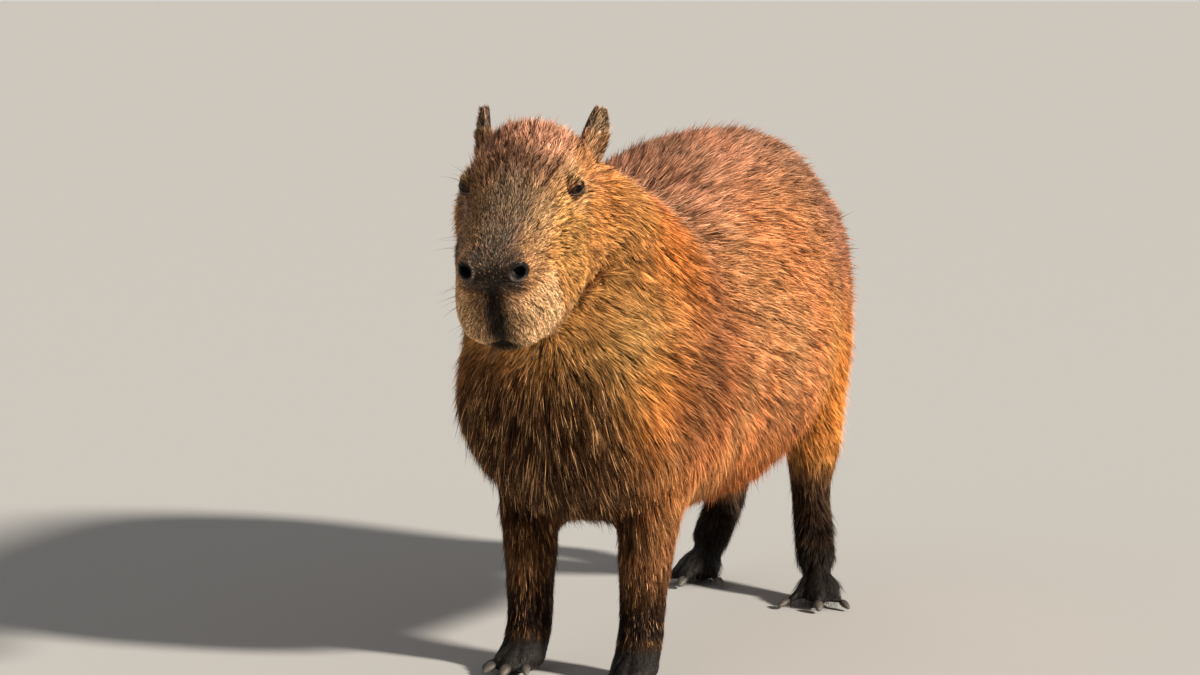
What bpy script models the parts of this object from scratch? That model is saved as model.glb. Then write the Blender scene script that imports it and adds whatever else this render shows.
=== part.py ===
"""A life-size standing capybara, head turned a little to its left, as named solids.

Metres, +Z up. The animal faces -Y and its left side is at +X. All outlines are out to the tips
of the coat. The flesh is modelled whole from lofts along the spine and the limbs, melted together
with a voxel remesh, and then parted with thin cuts into head, jaw, neck, trunk and limbs. Eyes,
ears and claws are pieces of their own, seated in or on the flesh with a small gap.
"""

import math
from typing import NamedTuple

import bmesh
import bpy
from mathutils import Matrix, Vector

# ---- driving dimensions -------------------------------------------------------------------------
RUMP_HEIGHT = 0.603  # top of the rump above the floor
FOOT_SPAN = 0.59  # fore feet to hind feet, along the body
GAP = 0.0004  # between neighbouring solids

EYE_HEIGHT = 0.566  # midpoint between the eyes above the floor
EYE_REACH = 0.204  # the same point, ahead of the fore feet
HEAD_SHIFT = 0.0205  # and to the left of the body's middle
HEAD_PITCH = math.radians(28.5)  # the head's long axis below the horizontal
HEAD_YAW = math.radians(10.5)  # turned towards the animal's left

EYE_RADIUS = 0.0115
EYE_SPREAD = 0.0545  # eye centre from the head's middle
NOSTRIL_SPREAD = 0.0265
EAR_TIP_SPREAD = {"left": 0.070, "right": 0.061}  # from the head's middle: the right ear is pricked
EAR_WIDTH = 0.038
EAR_CUP = 0.011  # depth of the ear's hollow
EAR_OUTLINE = (  # share of the ear's width by share of its height
    (0, 0.80), (0.3, 1.0), (0.55, 1.04), (0.78, 0.82), (0.93, 0.48), (1, 0.24),
)
EAR_THICKNESS = 0.0042
CLAW_LENGTH = 0.019

ELBOW_CUT = 0.150  # heights above the floor where the limbs are parted
WRIST_CUT = 0.048
HOCK_CUT = 0.112
KNEE_CUT = 0.190  # at the front of the knee, from where the cut rises backwards
KNEE_SLANT = math.radians(18)
SHOULDER_CUT = 0.190  # the highest part of each leg, at the body's middle, under a plane that
SHOULDER_SLOPE = 0.75  # rises outwards by this much in each metre
HIP_CUT = 0.225
HIP_SLOPE = 1.25
MIDDLE_CLEAR = 0.012  # between the body's middle and the highest part of each leg

VOXEL = 0.005
FLESH_TRIANGLES = 3800
RING = 28  # points round a loft's section
CLAW_RING = 8  # the same, round a claw

FORE_Y = -FOOT_SPAN / 2
HIND_Y = FOOT_SPAN / 2
EYES = Vector((HEAD_SHIFT, FORE_Y - EYE_REACH, EYE_HEIGHT))


class Section(NamedTuple):
    """One ring of a loft: where it is, its size across, up and down, and its shape."""

    at: Vector
    frame: Matrix  # columns: across, up, along
    half_width: float
    up: float
    down: float
    squareness: float = 2.2  # 2 is an ellipse, more is boxier
    pear: float = 0.0  # above 0 the lower half is wider than the upper


# ---- small helpers ------------------------------------------------------------------------------
def clear_scene():
    """Removes the objects that the file opens with."""
    for obj in list(bpy.data.objects):
        bpy.data.objects.remove(obj)


def collection(name):
    """A new collection in the scene."""
    made = bpy.data.collections.new(name)
    bpy.context.scene.collection.children.link(made)
    return made


def smooth_value(keys, at):
    """A smooth curve through (place, value) pairs, read at one place."""
    if at <= keys[0][0]:
        return keys[0][1]
    if at >= keys[-1][0]:
        return keys[-1][1]
    last = len(keys) - 1
    i = max(k for k in range(last) if keys[k][0] <= at)

    def slope(k):
        low, high = max(k - 1, 0), min(k + 1, last)
        return (keys[high][1] - keys[low][1]) / (keys[high][0] - keys[low][0])

    (x0, y0), (x1, y1) = keys[i], keys[i + 1]
    span = x1 - x0
    t = (at - x0) / span
    rise = (1 + 2 * t) * (1 - t) ** 2 * y0 + t * t * (3 - 2 * t) * y1
    return rise + span * (t * (1 - t) ** 2 * slope(i) - t * t * (1 - t) * slope(i + 1))


def signed_power(value, power):
    """value to a power, keeping its sign."""
    return math.copysign(abs(value) ** power, value)


def ring_points(section, count):
    """The points of one section, in world space."""
    power = 2 / section.squareness
    points = []
    for k in range(count):
        turn = 2 * math.pi * k / count
        across = signed_power(math.cos(turn), power) * section.half_width
        high = signed_power(math.sin(turn), power)
        across *= 1 - section.pear * high
        high *= section.up if high > 0 else section.down
        points.append(section.at + section.frame @ Vector((across, high, 0)))
    return points


def new_object(name, mesh, home):
    """An object of that mesh in a collection."""
    obj = bpy.data.objects.new(name, mesh)
    home.objects.link(obj)
    return obj


def mesh_from(name, bm):
    """A mesh datablock with its faces pointing out."""
    bmesh.ops.recalc_face_normals(bm, faces=bm.faces)
    mesh = bpy.data.meshes.new(name)
    bm.to_mesh(mesh)
    bm.free()
    return mesh


def loft(name, sections, home, count=RING):
    """A closed skin over a row of sections, with a point at each end's middle."""
    bm = bmesh.new()
    rings = [[bm.verts.new(p) for p in ring_points(s, count)] for s in sections]
    for one, two in zip(rings, rings[1:]):
        for k in range(count):
            after = (k + 1) % count
            bm.faces.new((one[k], one[after], two[after], two[k]))
    for ring in (rings[0], rings[-1]):
        middle = bm.verts.new(sum((v.co for v in ring), Vector()) / count)
        for k in range(count):
            bm.faces.new((ring[k], ring[(k + 1) % count], middle))
    return new_object(name, mesh_from(name, bm), home)


def blob(name, at, radii, home, frame=Matrix.Identity(3), segments=24):
    """An ellipsoid."""
    bm = bmesh.new()
    bmesh.ops.create_uvsphere(bm, u_segments=segments, v_segments=2 * segments // 3, radius=1)
    place = Matrix.Translation(at) @ frame.to_4x4() @ Matrix.Diagonal((*radii, 1))
    bmesh.ops.transform(bm, matrix=place, verts=bm.verts)
    return new_object(name, mesh_from(name, bm), home)


def block(name, low, high, home, place=Matrix.Identity(4)):
    """A box from its lowest to its highest corner, then placed."""
    low, high = Vector(low), Vector(high)
    bm = bmesh.new()
    bmesh.ops.create_cube(bm, size=1)
    size = Matrix.Diagonal((*(high - low), 1))
    bmesh.ops.transform(
        bm, matrix=place @ Matrix.Translation((low + high) / 2) @ size, verts=bm.verts
    )
    return new_object(name, mesh_from(name, bm), home)


def settle(obj):
    """Turns an object's modifiers into its mesh."""
    graph = bpy.context.evaluated_depsgraph_get()
    mesh = bpy.data.meshes.new_from_object(obj.evaluated_get(graph))
    obj.modifiers.clear()
    obj.data = mesh
    return obj


def boolean(obj, other, operation):
    """Cuts, joins or trims obj with other, which stays as it is."""
    modifier = obj.modifiers.new(operation.title(), "BOOLEAN")
    modifier.operation = operation
    modifier.object = other
    return settle(obj)


def copied(obj, name, grow=0.0):
    """A copy of an object, swollen by a small distance."""
    twin = new_object(name, obj.data.copy(), obj.users_collection[0])
    twin.matrix_world = obj.matrix_world
    if grow:
        swell = twin.modifiers.new("Grow", "DISPLACE")
        swell.strength = grow
        swell.mid_level = 0
        settle(twin)
    return twin


def removed(*objs):
    """Takes helpers out of the file."""
    for obj in objs:
        bpy.data.objects.remove(obj)


# ---- frames -------------------------------------------------------------------------------------
def looking(forward, up=Vector((0, 0, 1))):
    """A frame whose third column runs forward, with its first across and its second up."""
    along = Vector(forward).normalized()
    across = Vector(up).cross(along).normalized()
    return Matrix((across, along.cross(across), along)).transposed()


def head_axis(pitch=HEAD_PITCH, yaw=HEAD_YAW):
    """The way that the face points."""
    flat = math.cos(pitch)
    return Vector((flat * math.sin(yaw), -flat * math.cos(yaw), -math.sin(pitch)))


HEAD = looking(head_axis())


def on_head(left, up, ahead):
    """A place on the head, measured from the midpoint between the eyes."""
    return EYES + HEAD @ Vector((left, up, ahead))


# ---- the flesh ----------------------------------------------------------------------------------
def trunk(home):
    """The barrel from the breast to the rump, from its three outlines."""
    top = (
        (-0.435, 0.42), (-0.40, 0.460), (-0.34, 0.499), (-0.22, 0.547), (-0.12, 0.577), (-0.02, 0.597),
        (0.08, 0.602), (0.18, RUMP_HEIGHT), (0.27, 0.592), (0.35, 0.552), (0.41, 0.480), (0.425, 0.44),
    )
    belly = (
        (-0.435, 0.33), (-0.40, 0.26), (-0.34, 0.202), (-0.25, 0.172), (-0.10, 0.162),
        (0.06, 0.164), (0.18, 0.188), (0.28, 0.240), (0.36, 0.30), (0.41, 0.355), (0.425, 0.40),
    )
    width = (
        (-0.435, 0.035), (-0.40, 0.096), (-0.34, 0.129), (-0.22, 0.149), (-0.05, 0.153),
        (0.08, 0.152), (0.18, 0.145), (0.28, 0.127), (0.36, 0.098), (0.41, 0.062), (0.425, 0.030),
    )
    frame = looking((0, -1, 0))
    sections = []
    stations = 30
    for k in range(stations + 1):
        y = -0.005 - 0.430 * math.cos(math.pi * k / stations)
        high, low = smooth_value(top, y), smooth_value(belly, y)
        middle = low + 0.46 * (high - low)
        sections.append(
            Section(
                Vector((0, y, middle)), frame, smooth_value(width, y),
                high - middle, middle - low, 2.15, 0.11,
            )
        )
    return loft("trunk_form", sections, home)


def neck(home):
    """The thick neck that runs from inside the breast to inside the back of the head."""
    start, end = Vector((0, -0.20, 0.405)), on_head(0, -0.055, -0.055)
    lead = Vector((0, -0.16, 0.085))
    arrive = head_axis() * 0.16
    half_width = ((0, 0.138), (0.35, 0.142), (0.7, 0.121), (1, 0.076))
    up = ((0, 0.128), (0.35, 0.102), (0.7, 0.068), (1, 0.052))
    down = ((0, 0.165), (0.35, 0.170), (0.7, 0.135), (1, 0.085))
    sections = []
    stations = 14
    for k in range(stations + 1):
        t = k / stations
        at = (
            (1 + 2 * t) * (1 - t) ** 2 * start
            + t * t * (3 - 2 * t) * end
            + t * (1 - t) ** 2 * lead
            - t * t * (1 - t) * arrive
        )
        along = lead.normalized().lerp(head_axis(), t * t * (3 - 2 * t))
        sections.append(
            Section(
                at, looking(along), smooth_value(half_width, t),
                smooth_value(up, t), smooth_value(down, t), 2.2, 0.14,
            )
        )
    return loft("neck_form", sections, home)


def head(home):
    """The long deep head: skull and muzzle as one loft, with brows, cheeks and lips added."""
    top = (
        (-0.125, -0.045), (-0.10, 0.010), (-0.06, 0.047), (-0.02, 0.046), (0.03, 0.032), (0.08, 0.019),
        (0.12, 0.013), (0.140, 0.010), (0.154, 0.002), (0.164, -0.018),
    )
    bottom = (
        (-0.125, -0.11), (-0.10, -0.125), (-0.06, -0.136), (-0.02, -0.140), (0.03, -0.139), (0.08, -0.131),
        (0.12, -0.119), (0.140, -0.109), (0.154, -0.094), (0.164, -0.070),
    )
    width = (
        (-0.125, 0.052), (-0.10, 0.066), (-0.06, 0.072), (-0.02, 0.070), (0.03, 0.0655), (0.08, 0.059),
        (0.12, 0.053), (0.140, 0.047), (0.154, 0.038), (0.164, 0.024),
    )
    sections = []
    stations = 22
    for k in range(stations + 1):
        ahead = 0.0195 - 0.1445 * math.cos(math.pi * k / stations)
        high, low = smooth_value(top, ahead), smooth_value(bottom, ahead)
        middle = low + 0.45 * (high - low)
        sections.append(
            Section(
                on_head(0, middle, ahead), HEAD, smooth_value(width, ahead),
                high - middle, middle - low, 2.5, 0.14,
            )
        )
    forms = [loft("head_form", sections, home)]
    for side in (-1, 1):
        lumps = (
            ("brow", (0.042, 0.018, -0.006), (0.017, 0.012, 0.024)),
            ("cheek", (0.050, -0.078, 0.012), (0.028, 0.043, 0.058)),
            ("nostril_wing", (NOSTRIL_SPREAD, -0.005, 0.142), (0.016, 0.014, 0.020)),
            ("upper_lip", (0.023, -0.068, 0.140), (0.024, 0.036, 0.026)),
        )
        for name, (left, up, ahead), radii in lumps:
            forms.append(blob(name, on_head(side * left, up, ahead), radii, home, HEAD))
    forms.append(blob("chin", on_head(0, -0.107, 0.120), (0.028, 0.014, 0.032), home, HEAD))
    return forms


def limb(name, joints, home, across=Vector((1, 0, 0)), steps_between=5, count=RING):
    """A tube through joints, each (place, half width, half depth), on a smooth path."""
    last = len(joints) - 1
    places = [tuple((k, joint[0][axis]) for k, joint in enumerate(joints)) for axis in range(3)]
    widths = tuple((k, joint[1]) for k, joint in enumerate(joints))
    depths = tuple((k, joint[2]) for k, joint in enumerate(joints))

    def path(t):
        return Vector(smooth_value(keys, t) for keys in places)

    sections = []
    for step in range(last * steps_between + 1):
        t = step / steps_between
        along = path(min(t + 0.05, last)) - path(max(t - 0.05, 0))
        along.normalize()
        ahead = along.cross(across).normalized()
        side = ahead.cross(along)
        frame = Matrix((side, ahead, along)).transposed()
        depth = smooth_value(depths, t)
        sections.append(Section(path(t), frame, smooth_value(widths, t), depth, depth, 2.1))
    return loft(name, sections, home, count)


class Leg(NamedTuple):
    """Where one leg stands: its side, the foot's middle, and how far it turns out."""

    side: str
    sign: int
    foot: Vector
    toe_out: float


FORE_LEGS = (
    Leg("left", 1, Vector((0.071, FORE_Y - 0.006, 0)), math.radians(8)),
    Leg("right", -1, Vector((-0.071, FORE_Y + 0.006, 0)), math.radians(8)),
)
HIND_LEGS = (
    Leg("left", 1, Vector((0.112, HIND_Y - 0.073, 0)), math.radians(26)),
    Leg("right", -1, Vector((-0.078, HIND_Y + 0.018, 0)), math.radians(8)),
)


def foot_frame(leg):
    """Turns a foot's own places, where -Y is ahead, into world places."""
    return Matrix.Translation(leg.foot) @ Matrix.Rotation(leg.toe_out * leg.sign, 4, "Z")


class Toe(NamedTuple):
    """One toe: how far it fans outwards, its reach from the foot's middle, and its thickness."""

    fan: float
    reach: float
    thick: float


FORE_TOES = (
    Toe(math.radians(-34), 0.040, 0.0105),
    Toe(math.radians(-9), 0.054, 0.0120),
    Toe(math.radians(15), 0.052, 0.0120),
    Toe(math.radians(42), 0.038, 0.0105),
)
HIND_TOES = (
    Toe(math.radians(-47), 0.065, 0.0100),
    Toe(math.radians(-7), 0.073, 0.0118),
    Toe(math.radians(23), 0.064, 0.0098),
)


def toe_way(toe, sign):
    """The flat direction in which a toe points, in its foot's frame."""
    return Vector((math.sin(toe.fan) * sign, -math.cos(toe.fan), 0))


def toe_form(leg, toe, number, root_height, home):
    """One toe, from inside the foot down to its pad."""
    way = toe_way(toe, leg.sign)
    place = foot_frame(leg)
    joints = (
        (place @ (way * 0.002 + Vector((0, 0, root_height))), toe.thick * 1.15, toe.thick * 1.3),
        (place @ (way * toe.reach * 0.45 + Vector((0, 0, root_height * 0.66))), toe.thick, toe.thick * 1.1),
        (place @ (way * toe.reach * 0.80 + Vector((0, 0, toe.thick * 1.0))), toe.thick, toe.thick),
        (place @ (way * toe.reach + Vector((0, 0, toe.thick * 0.70))), toe.thick * 0.8, toe.thick * 0.75),
    )
    across = place.to_3x3() @ way.cross(Vector((0, 0, 1)))
    return limb(f"toe_form_{leg.side}_{number}", joints, home, across)


def fore_leg(leg, home):
    """Upper arm, forearm, wrist and hand."""
    x, y = leg.foot.x, leg.foot.y
    joints = (
        (Vector((x * 1.15, -0.215, 0.42)), 0.055, 0.105),
        (Vector((x * 1.17, -0.230, 0.34)), 0.053, 0.092),
        (Vector((x * 1.10, y + 0.045, 0.255)), 0.046, 0.068),
        (Vector((x * 1.05, y + 0.030, 0.185)), 0.036, 0.048),
        (Vector((x * 1.02, y + 0.022, 0.115)), 0.028, 0.034),
        (Vector((x, y + 0.018, 0.060)), 0.026, 0.028),
        (Vector((x, y + 0.008, 0.030)), 0.028, 0.026),
    )
    forms = [limb(f"fore_form_{leg.side}", joints, home)]
    pad = foot_frame(leg) @ Vector((0, -0.004, 0.016))
    forms.append(blob(f"hand_{leg.side}", pad, (0.030, 0.030, 0.020), home))
    for number, toe in enumerate(FORE_TOES, 1):
        forms.append(toe_form(leg, toe, number, 0.028, home))
    return forms


def hind_leg(leg, home):
    """Thigh, shank, hock and the long foot, whose heel lies straight behind its toes."""
    place = foot_frame(leg)
    hock_y = leg.foot.y + 0.075
    joints = (
        (Vector((leg.sign * 0.056, 0.270, 0.500)), 0.036, 0.090),
        (Vector((leg.sign * 0.064, 0.280, 0.440)), 0.050, 0.122),
        (Vector((leg.sign * 0.072, 0.280, 0.350)), 0.051, 0.118),
        (Vector((leg.sign * 0.084, 0.5 * hock_y + 0.110, 0.262)), 0.043, 0.082),
        (place @ Vector((0, 0.066, 0.192)), 0.034, 0.047),
        (place @ Vector((0, 0.080, 0.138)), 0.026, 0.033),
        (place @ Vector((0, 0.050, 0.085)), 0.025, 0.024),
        (place @ Vector((0, 0.014, 0.042)), 0.029, 0.021),
    )
    forms = [limb(f"hind_form_{leg.side}", joints, home)]
    heel = place @ Vector((0, 0.106, 0.142))
    forms.append(blob(f"heel_{leg.side}", heel, (0.017, 0.016, 0.026), home))
    pad = place @ Vector((0, -0.006, 0.018))
    forms.append(blob(f"sole_{leg.side}", pad, (0.032, 0.032, 0.022), home))
    for number, toe in enumerate(HIND_TOES, 1):
        forms.append(toe_form(leg, toe, number, 0.036, home))
    return forms


def melted(forms, home):
    """All the forms as one smooth closed surface, with more triangles where it bends more."""
    whole = forms[0]
    bpy.ops.object.select_all(action="DESELECT")
    for form in forms:
        form.select_set(True)
    bpy.context.view_layer.objects.active = whole
    bpy.ops.object.join()
    whole.name = "flesh"
    remesh = whole.modifiers.new("Melt", "REMESH")
    remesh.mode = "VOXEL"
    remesh.voxel_size = VOXEL
    settle(whole)
    soften = whole.modifiers.new("Soften", "SMOOTH")
    soften.factor = 0.5
    soften.iterations = 8
    settle(whole)
    thin = whole.modifiers.new("Thin", "DECIMATE")
    thin.ratio = FLESH_TRIANGLES / (2 * len(whole.data.polygons))
    settle(whole)
    floor = block("floor_cut", (-1, -1.5, -0.2), (1, 1.5, 0.0), home)
    boolean(whole, floor, "DIFFERENCE")
    removed(floor)
    return whole


# ---- eyes, ears and claws -----------------------------------------------------------------------
def eye(side, sign, home):
    """A full eyeball; only its outer cap shows."""
    radii = (EYE_RADIUS, EYE_RADIUS, EYE_RADIUS)
    return blob(f"eye_{side}", on_head(sign * EYE_SPREAD, 0, 0), radii, home, segments=12)


def ear(side, sign, home):
    """A short leaf-shaped shell on the corner of the head, its hollow towards the front and the side."""
    rows, columns = 6, 4
    front = on_head(sign * 0.049, 0.018, -0.073)
    lobe = on_head(sign * 0.067, -0.015, -0.091)
    tip = on_head(sign * EAR_TIP_SPREAD[side], 0.035, -0.106)
    middle = (front + lobe) / 2
    rise = (tip - middle).normalized()
    across = lobe - front
    across = (across - rise * across.dot(rise)).normalized()
    hollow = sign * across.cross(rise)
    sunk = 0.45  # of the ear's height inside the head
    bm = bmesh.new()
    grid = []
    for row in range(rows + 1):
        share = row / rows
        half = EAR_WIDTH / 2 * smooth_value(EAR_OUTLINE, share)
        along = middle.lerp(tip, share * (1 + sunk) - sunk)
        line = []
        for column in range(columns + 1):
            edge = 2 * column / columns - 1
            cup = EAR_CUP * (edge**2 * (1 - 0.45 * share) - 0.5)
            line.append(bm.verts.new(along + across * (edge * half) + hollow * cup))
        grid.append(line)
    for one, two in zip(grid, grid[1:]):
        for k in range(columns):
            bm.faces.new((one[k], one[k + 1], two[k + 1], two[k]))
    made = new_object(f"ear_{side}", mesh_from(f"ear_{side}", bm), home)
    shell = made.modifiers.new("Shell", "SOLIDIFY")
    shell.thickness = EAR_THICKNESS
    shell.offset = 0
    return settle(made)


def claw(leg, toe, name, home, grow=0.0):
    """A blunt hoof-like claw at a toe's end, its lower side just above the floor."""
    way = toe_way(toe, leg.sign)
    place = foot_frame(leg)
    thick = toe.thick * 0.62
    across = place.to_3x3() @ way.cross(Vector((0, 0, 1)))
    joints = []
    for share, size in ((0.0, 0.72), (0.35, 1.0), (0.75, 0.72), (1.0, 0.30)):
        reach = toe.reach - 0.007 + CLAW_LENGTH * share
        height = toe.thick * (1.02 - 0.62 * share**1.4)
        at = place @ (way * (reach + (share - 0.5) * 2 * grow) + Vector((0, 0, height)))
        joints.append((at, thick * size + grow, thick * size * 0.8 + grow))
    return limb(name, tuple(joints), home, across, 1, CLAW_RING)


# ---- parting ------------------------------------------------------------------------------------
def part_off(rest, name, cutter, home):
    """Takes what lies in cutter off rest as a new solid, with a gap between the two."""
    taken = new_object(name, rest.data.copy(), home)
    boolean(taken, cutter, "INTERSECT")
    slot = copied(cutter, "slot", GAP)
    boolean(rest, slot, "DIFFERENCE")
    removed(slot, cutter)
    return taken


def beyond(at, forward, reach, helpers, spread, low):
    """A box that starts at a plane and runs forward from it."""
    place = Matrix.Translation(at) @ looking(forward).to_4x4()
    return block("cutter", (-spread, low, 0), (spread, 1, reach), helpers, place)


def part_head(flesh, home, helpers):
    """Parts the head and the neck from the flesh, and the jaw from the head."""
    nape = beyond(on_head(0, -0.06, -0.075), head_axis(math.radians(28)), 0.4, helpers, 0.16, -0.14)
    skull = part_off(flesh, "head", nape, home)
    mouth = Matrix.Translation(on_head(0, -0.093, 0.20)) @ HEAD.to_4x4()
    mouth @= Matrix.Rotation(math.radians(-4), 4, "X")
    jaw = block("cutter", (-0.1, -0.1, -0.165), (0.1, 0, 0.1), helpers, mouth)
    part_off(skull, "lower_jaw", jaw, home)
    collar = beyond(Vector((0, -0.315, 0.45)), Vector((0, -1, 0.42)), 0.4, helpers, 0.3, -0.22)
    part_off(flesh, "neck", collar, home)


def part_limbs(flesh, home, helpers):
    """Parts each leg from the flesh, in three lengths."""
    for leg in FORE_LEGS:
        cutter = limb_cutter(leg, (-0.44, -0.12), SHOULDER_CUT, SHOULDER_SLOPE, helpers)
        upper = part_off(flesh, f"foreleg_{leg.side}_upper", cutter, home)
        lower = part_off(upper, f"foreleg_{leg.side}_lower", below(ELBOW_CUT, helpers), home)
        part_off(lower, f"forefoot_{leg.side}", below(WRIST_CUT, helpers), home)
    flank_fold = (Vector((0, 0.205, 0.19)), Vector((0, -1, -0.42)))
    for leg in HIND_LEGS:
        cutter = limb_cutter(leg, (0.08, 0.50), HOCK_CUT, 0, helpers)
        part_off(flesh, f"hindfoot_{leg.side}", cutter, home)
        cutter = limb_cutter(leg, (0.08, 0.50), HIP_CUT, HIP_SLOPE, helpers)
        trimmed(cutter, *flank_fold)
        upper = part_off(flesh, f"thigh_{leg.side}", cutter, home)
        knee = below(KNEE_CUT, helpers, flank_fold[0].y, KNEE_SLANT)
        part_off(upper, f"shank_{leg.side}", knee, home)


def below(height, helpers, y=0.0, slant=0.0):
    """A box under a level, or under a plane that rises backwards through a line across the body."""
    place = Matrix.Translation((0, y, height)) @ Matrix.Rotation(slant, 4, "X")
    return block("cutter", (-0.5, -1, -0.4), (0.5, 1, 0), helpers, place)


def trimmed(cutter, at, outward):
    """Cuts a block off at a plane, on the side that outward points to, and closes it."""
    bm = bmesh.new()
    bm.from_mesh(cutter.data)
    everything = bm.verts[:] + bm.edges[:] + bm.faces[:]
    cut = bmesh.ops.bisect_plane(bm, geom=everything, plane_co=at, plane_no=outward, clear_outer=True)
    bmesh.ops.holes_fill(bm, edges=[e for e in cut["geom_cut"] if isinstance(e, bmesh.types.BMEdge)])
    bmesh.ops.recalc_face_normals(bm, faces=bm.faces)
    bm.to_mesh(cutter.data)
    bm.free()


def limb_cutter(leg, reach, inner_top, slope, helpers):
    """A block on one side of the body, between two places along it, under a plane rising outwards."""
    inner, outer = sorted((leg.sign * MIDDLE_CLEAR, leg.sign * 0.30))
    cutter = block("cutter", (inner, reach[0], -0.1), (outer, reach[1], 0.7), helpers)
    trimmed(cutter, Vector((leg.sign * MIDDLE_CLEAR, 0, inner_top)), Vector((-leg.sign * slope, 0, 1)))
    return cutter


# ---- materials and assembly ---------------------------------------------------------------------
FURRED = ("head", "lower_jaw", "neck", "trunk", "foreleg", "thigh", "shank")


class Finish(NamedTuple):
    """A plain finish and the nodes that wear it, by how their names start."""

    name: str
    colour: tuple
    roughness: float
    nodes: tuple


FINISHES = (
    Finish("coat", (0.42, 0.21, 0.10, 1), 0.75, FURRED),
    Finish("bare_skin", (0.10, 0.075, 0.065, 1), 0.6, ("forefoot", "hindfoot", "ear")),
    Finish("eye", (0.03, 0.018, 0.012, 1), 0.08, ("eye",)),
    Finish("claw", (0.16, 0.14, 0.12, 1), 0.45, ("claw",)),
)


def paint(home):
    """Gives every solid the plain material of its kind."""
    for finish in FINISHES:
        material = bpy.data.materials.new(finish.name)
        material.use_nodes = True
        shader = material.node_tree.nodes["Principled BSDF"]
        shader.inputs["Base Color"].default_value = finish.colour
        shader.inputs["Roughness"].default_value = finish.roughness
        shader.inputs["Metallic"].default_value = 0.0
        for obj in home.objects:
            if obj.name.startswith(finish.nodes):
                obj.data.materials.clear()
                obj.data.materials.append(material)


def centre_on_floor(home):
    """Moves the whole so that the middle of its box is over the origin."""
    places = [obj.matrix_world @ v.co for obj in home.objects for v in obj.data.vertices]
    middle = [(min(p[axis] for p in places) + max(p[axis] for p in places)) / 2 for axis in (0, 1)]
    shift = Matrix.Translation((-middle[0], -middle[1], 0))
    for obj in home.objects:
        obj.data.transform(shift)


def add_face(flesh, home, helpers):
    """Seats the eyes and ears in the flesh and opens the nostrils."""
    for side, sign in (("left", 1), ("right", -1)):
        socket = copied(eye(side, sign, home), "socket", GAP)
        boolean(flesh, socket, "DIFFERENCE")
        opening = on_head(sign * NOSTRIL_SPREAD, -0.004, 0.168)
        nostril = blob("nostril", opening, (0.0075, 0.0055, 0.012), helpers, HEAD, segments=9)
        boolean(flesh, nostril, "DIFFERENCE")
        pinna = ear(side, sign, home)
        skull = copied(flesh, "skull", GAP)
        boolean(pinna, skull, "DIFFERENCE")
        removed(socket, nostril, skull)


def add_claws(flesh, home, helpers):
    """Seats a claw in the end of every toe."""
    for legs, toes, kind in ((FORE_LEGS, FORE_TOES, "fore"), (HIND_LEGS, HIND_TOES, "hind")):
        for leg in legs:
            for number, toe in enumerate(toes, 1):
                claw(leg, toe, f"claw_{kind}_{leg.side}_{number}", home)
                slot = claw(leg, toe, "slot", helpers, GAP)
                boolean(flesh, slot, "DIFFERENCE")
                removed(slot)


def main():
    """Builds the capybara."""
    clear_scene()
    home, helpers = collection("capybara"), collection("helpers")
    forms = [trunk(helpers), neck(helpers), *head(helpers)]
    for leg in FORE_LEGS:
        forms += fore_leg(leg, helpers)
    for leg in HIND_LEGS:
        forms += hind_leg(leg, helpers)
    flesh = melted(forms, helpers)
    add_face(flesh, home, helpers)
    add_claws(flesh, home, helpers)
    part_head(flesh, home, helpers)
    part_limbs(flesh, home, helpers)
    flesh.name = "trunk"
    home.objects.link(flesh)
    helpers.objects.unlink(flesh)
    paint(home)
    centre_on_floor(home)


main()
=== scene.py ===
"""A standing capybara at life size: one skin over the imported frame, its coat in mesh tufts, eyes, ears,
claws and bristles, on a plain pale studio floor. Lengths are in metres unless a name says millimetres."""
import logging
import math
from dataclasses import dataclass, field
from enum import Enum

import bmesh
import bpy
import numpy as np
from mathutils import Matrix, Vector
from mathutils.kdtree import KDTree


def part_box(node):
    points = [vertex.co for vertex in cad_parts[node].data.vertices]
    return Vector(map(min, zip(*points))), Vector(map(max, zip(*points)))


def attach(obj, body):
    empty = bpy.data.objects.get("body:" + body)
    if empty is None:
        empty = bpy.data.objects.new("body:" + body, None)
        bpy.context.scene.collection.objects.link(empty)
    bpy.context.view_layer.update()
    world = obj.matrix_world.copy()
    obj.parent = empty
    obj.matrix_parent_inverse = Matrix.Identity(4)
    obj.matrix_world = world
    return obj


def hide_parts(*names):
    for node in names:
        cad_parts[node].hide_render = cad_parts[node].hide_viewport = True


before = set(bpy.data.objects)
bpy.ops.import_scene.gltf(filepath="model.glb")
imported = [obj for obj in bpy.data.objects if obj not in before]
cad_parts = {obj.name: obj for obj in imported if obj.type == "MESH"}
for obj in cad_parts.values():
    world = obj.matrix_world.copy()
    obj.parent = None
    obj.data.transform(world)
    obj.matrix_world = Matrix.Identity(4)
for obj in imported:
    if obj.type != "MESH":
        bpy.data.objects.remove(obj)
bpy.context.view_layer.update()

LOG = logging.getLogger("capybara")
MM = 0.001
BODY = "root"
Array = np.ndarray
Chance = np.random.Generator
Triple = tuple[float, float, float]
Colour = Triple
Material = bpy.types.Material
Mesh = bpy.types.Mesh
Node = bpy.types.Node
NodeTree = bpy.types.NodeTree
Piece = bpy.types.Object
Socket = bpy.types.NodeSocket


# ---- arithmetic on rows of points ---------------------------------------------------------------
def unit(vectors: Array) -> Array:
    """Each row scaled to length one."""
    return vectors / np.maximum(np.linalg.norm(vectors, axis=-1, keepdims=True), 1e-9)


def dot(one: Array, two: Array) -> Array:
    """The dot product of each pair of rows."""
    return (one * two).sum(axis=-1)


def ease(low: float, high: float, value: Array) -> Array:
    """A smooth step from 0 at low to 1 at high."""
    share = np.clip((value - low) / (high - low), 0.0, 1.0)
    return share * share * (3.0 - 2.0 * share)


def hump(value: Array, middle: float, width: float) -> Array:
    """A bell of height one about the middle."""
    return np.exp(-(((value - middle) / width) ** 2))


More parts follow.
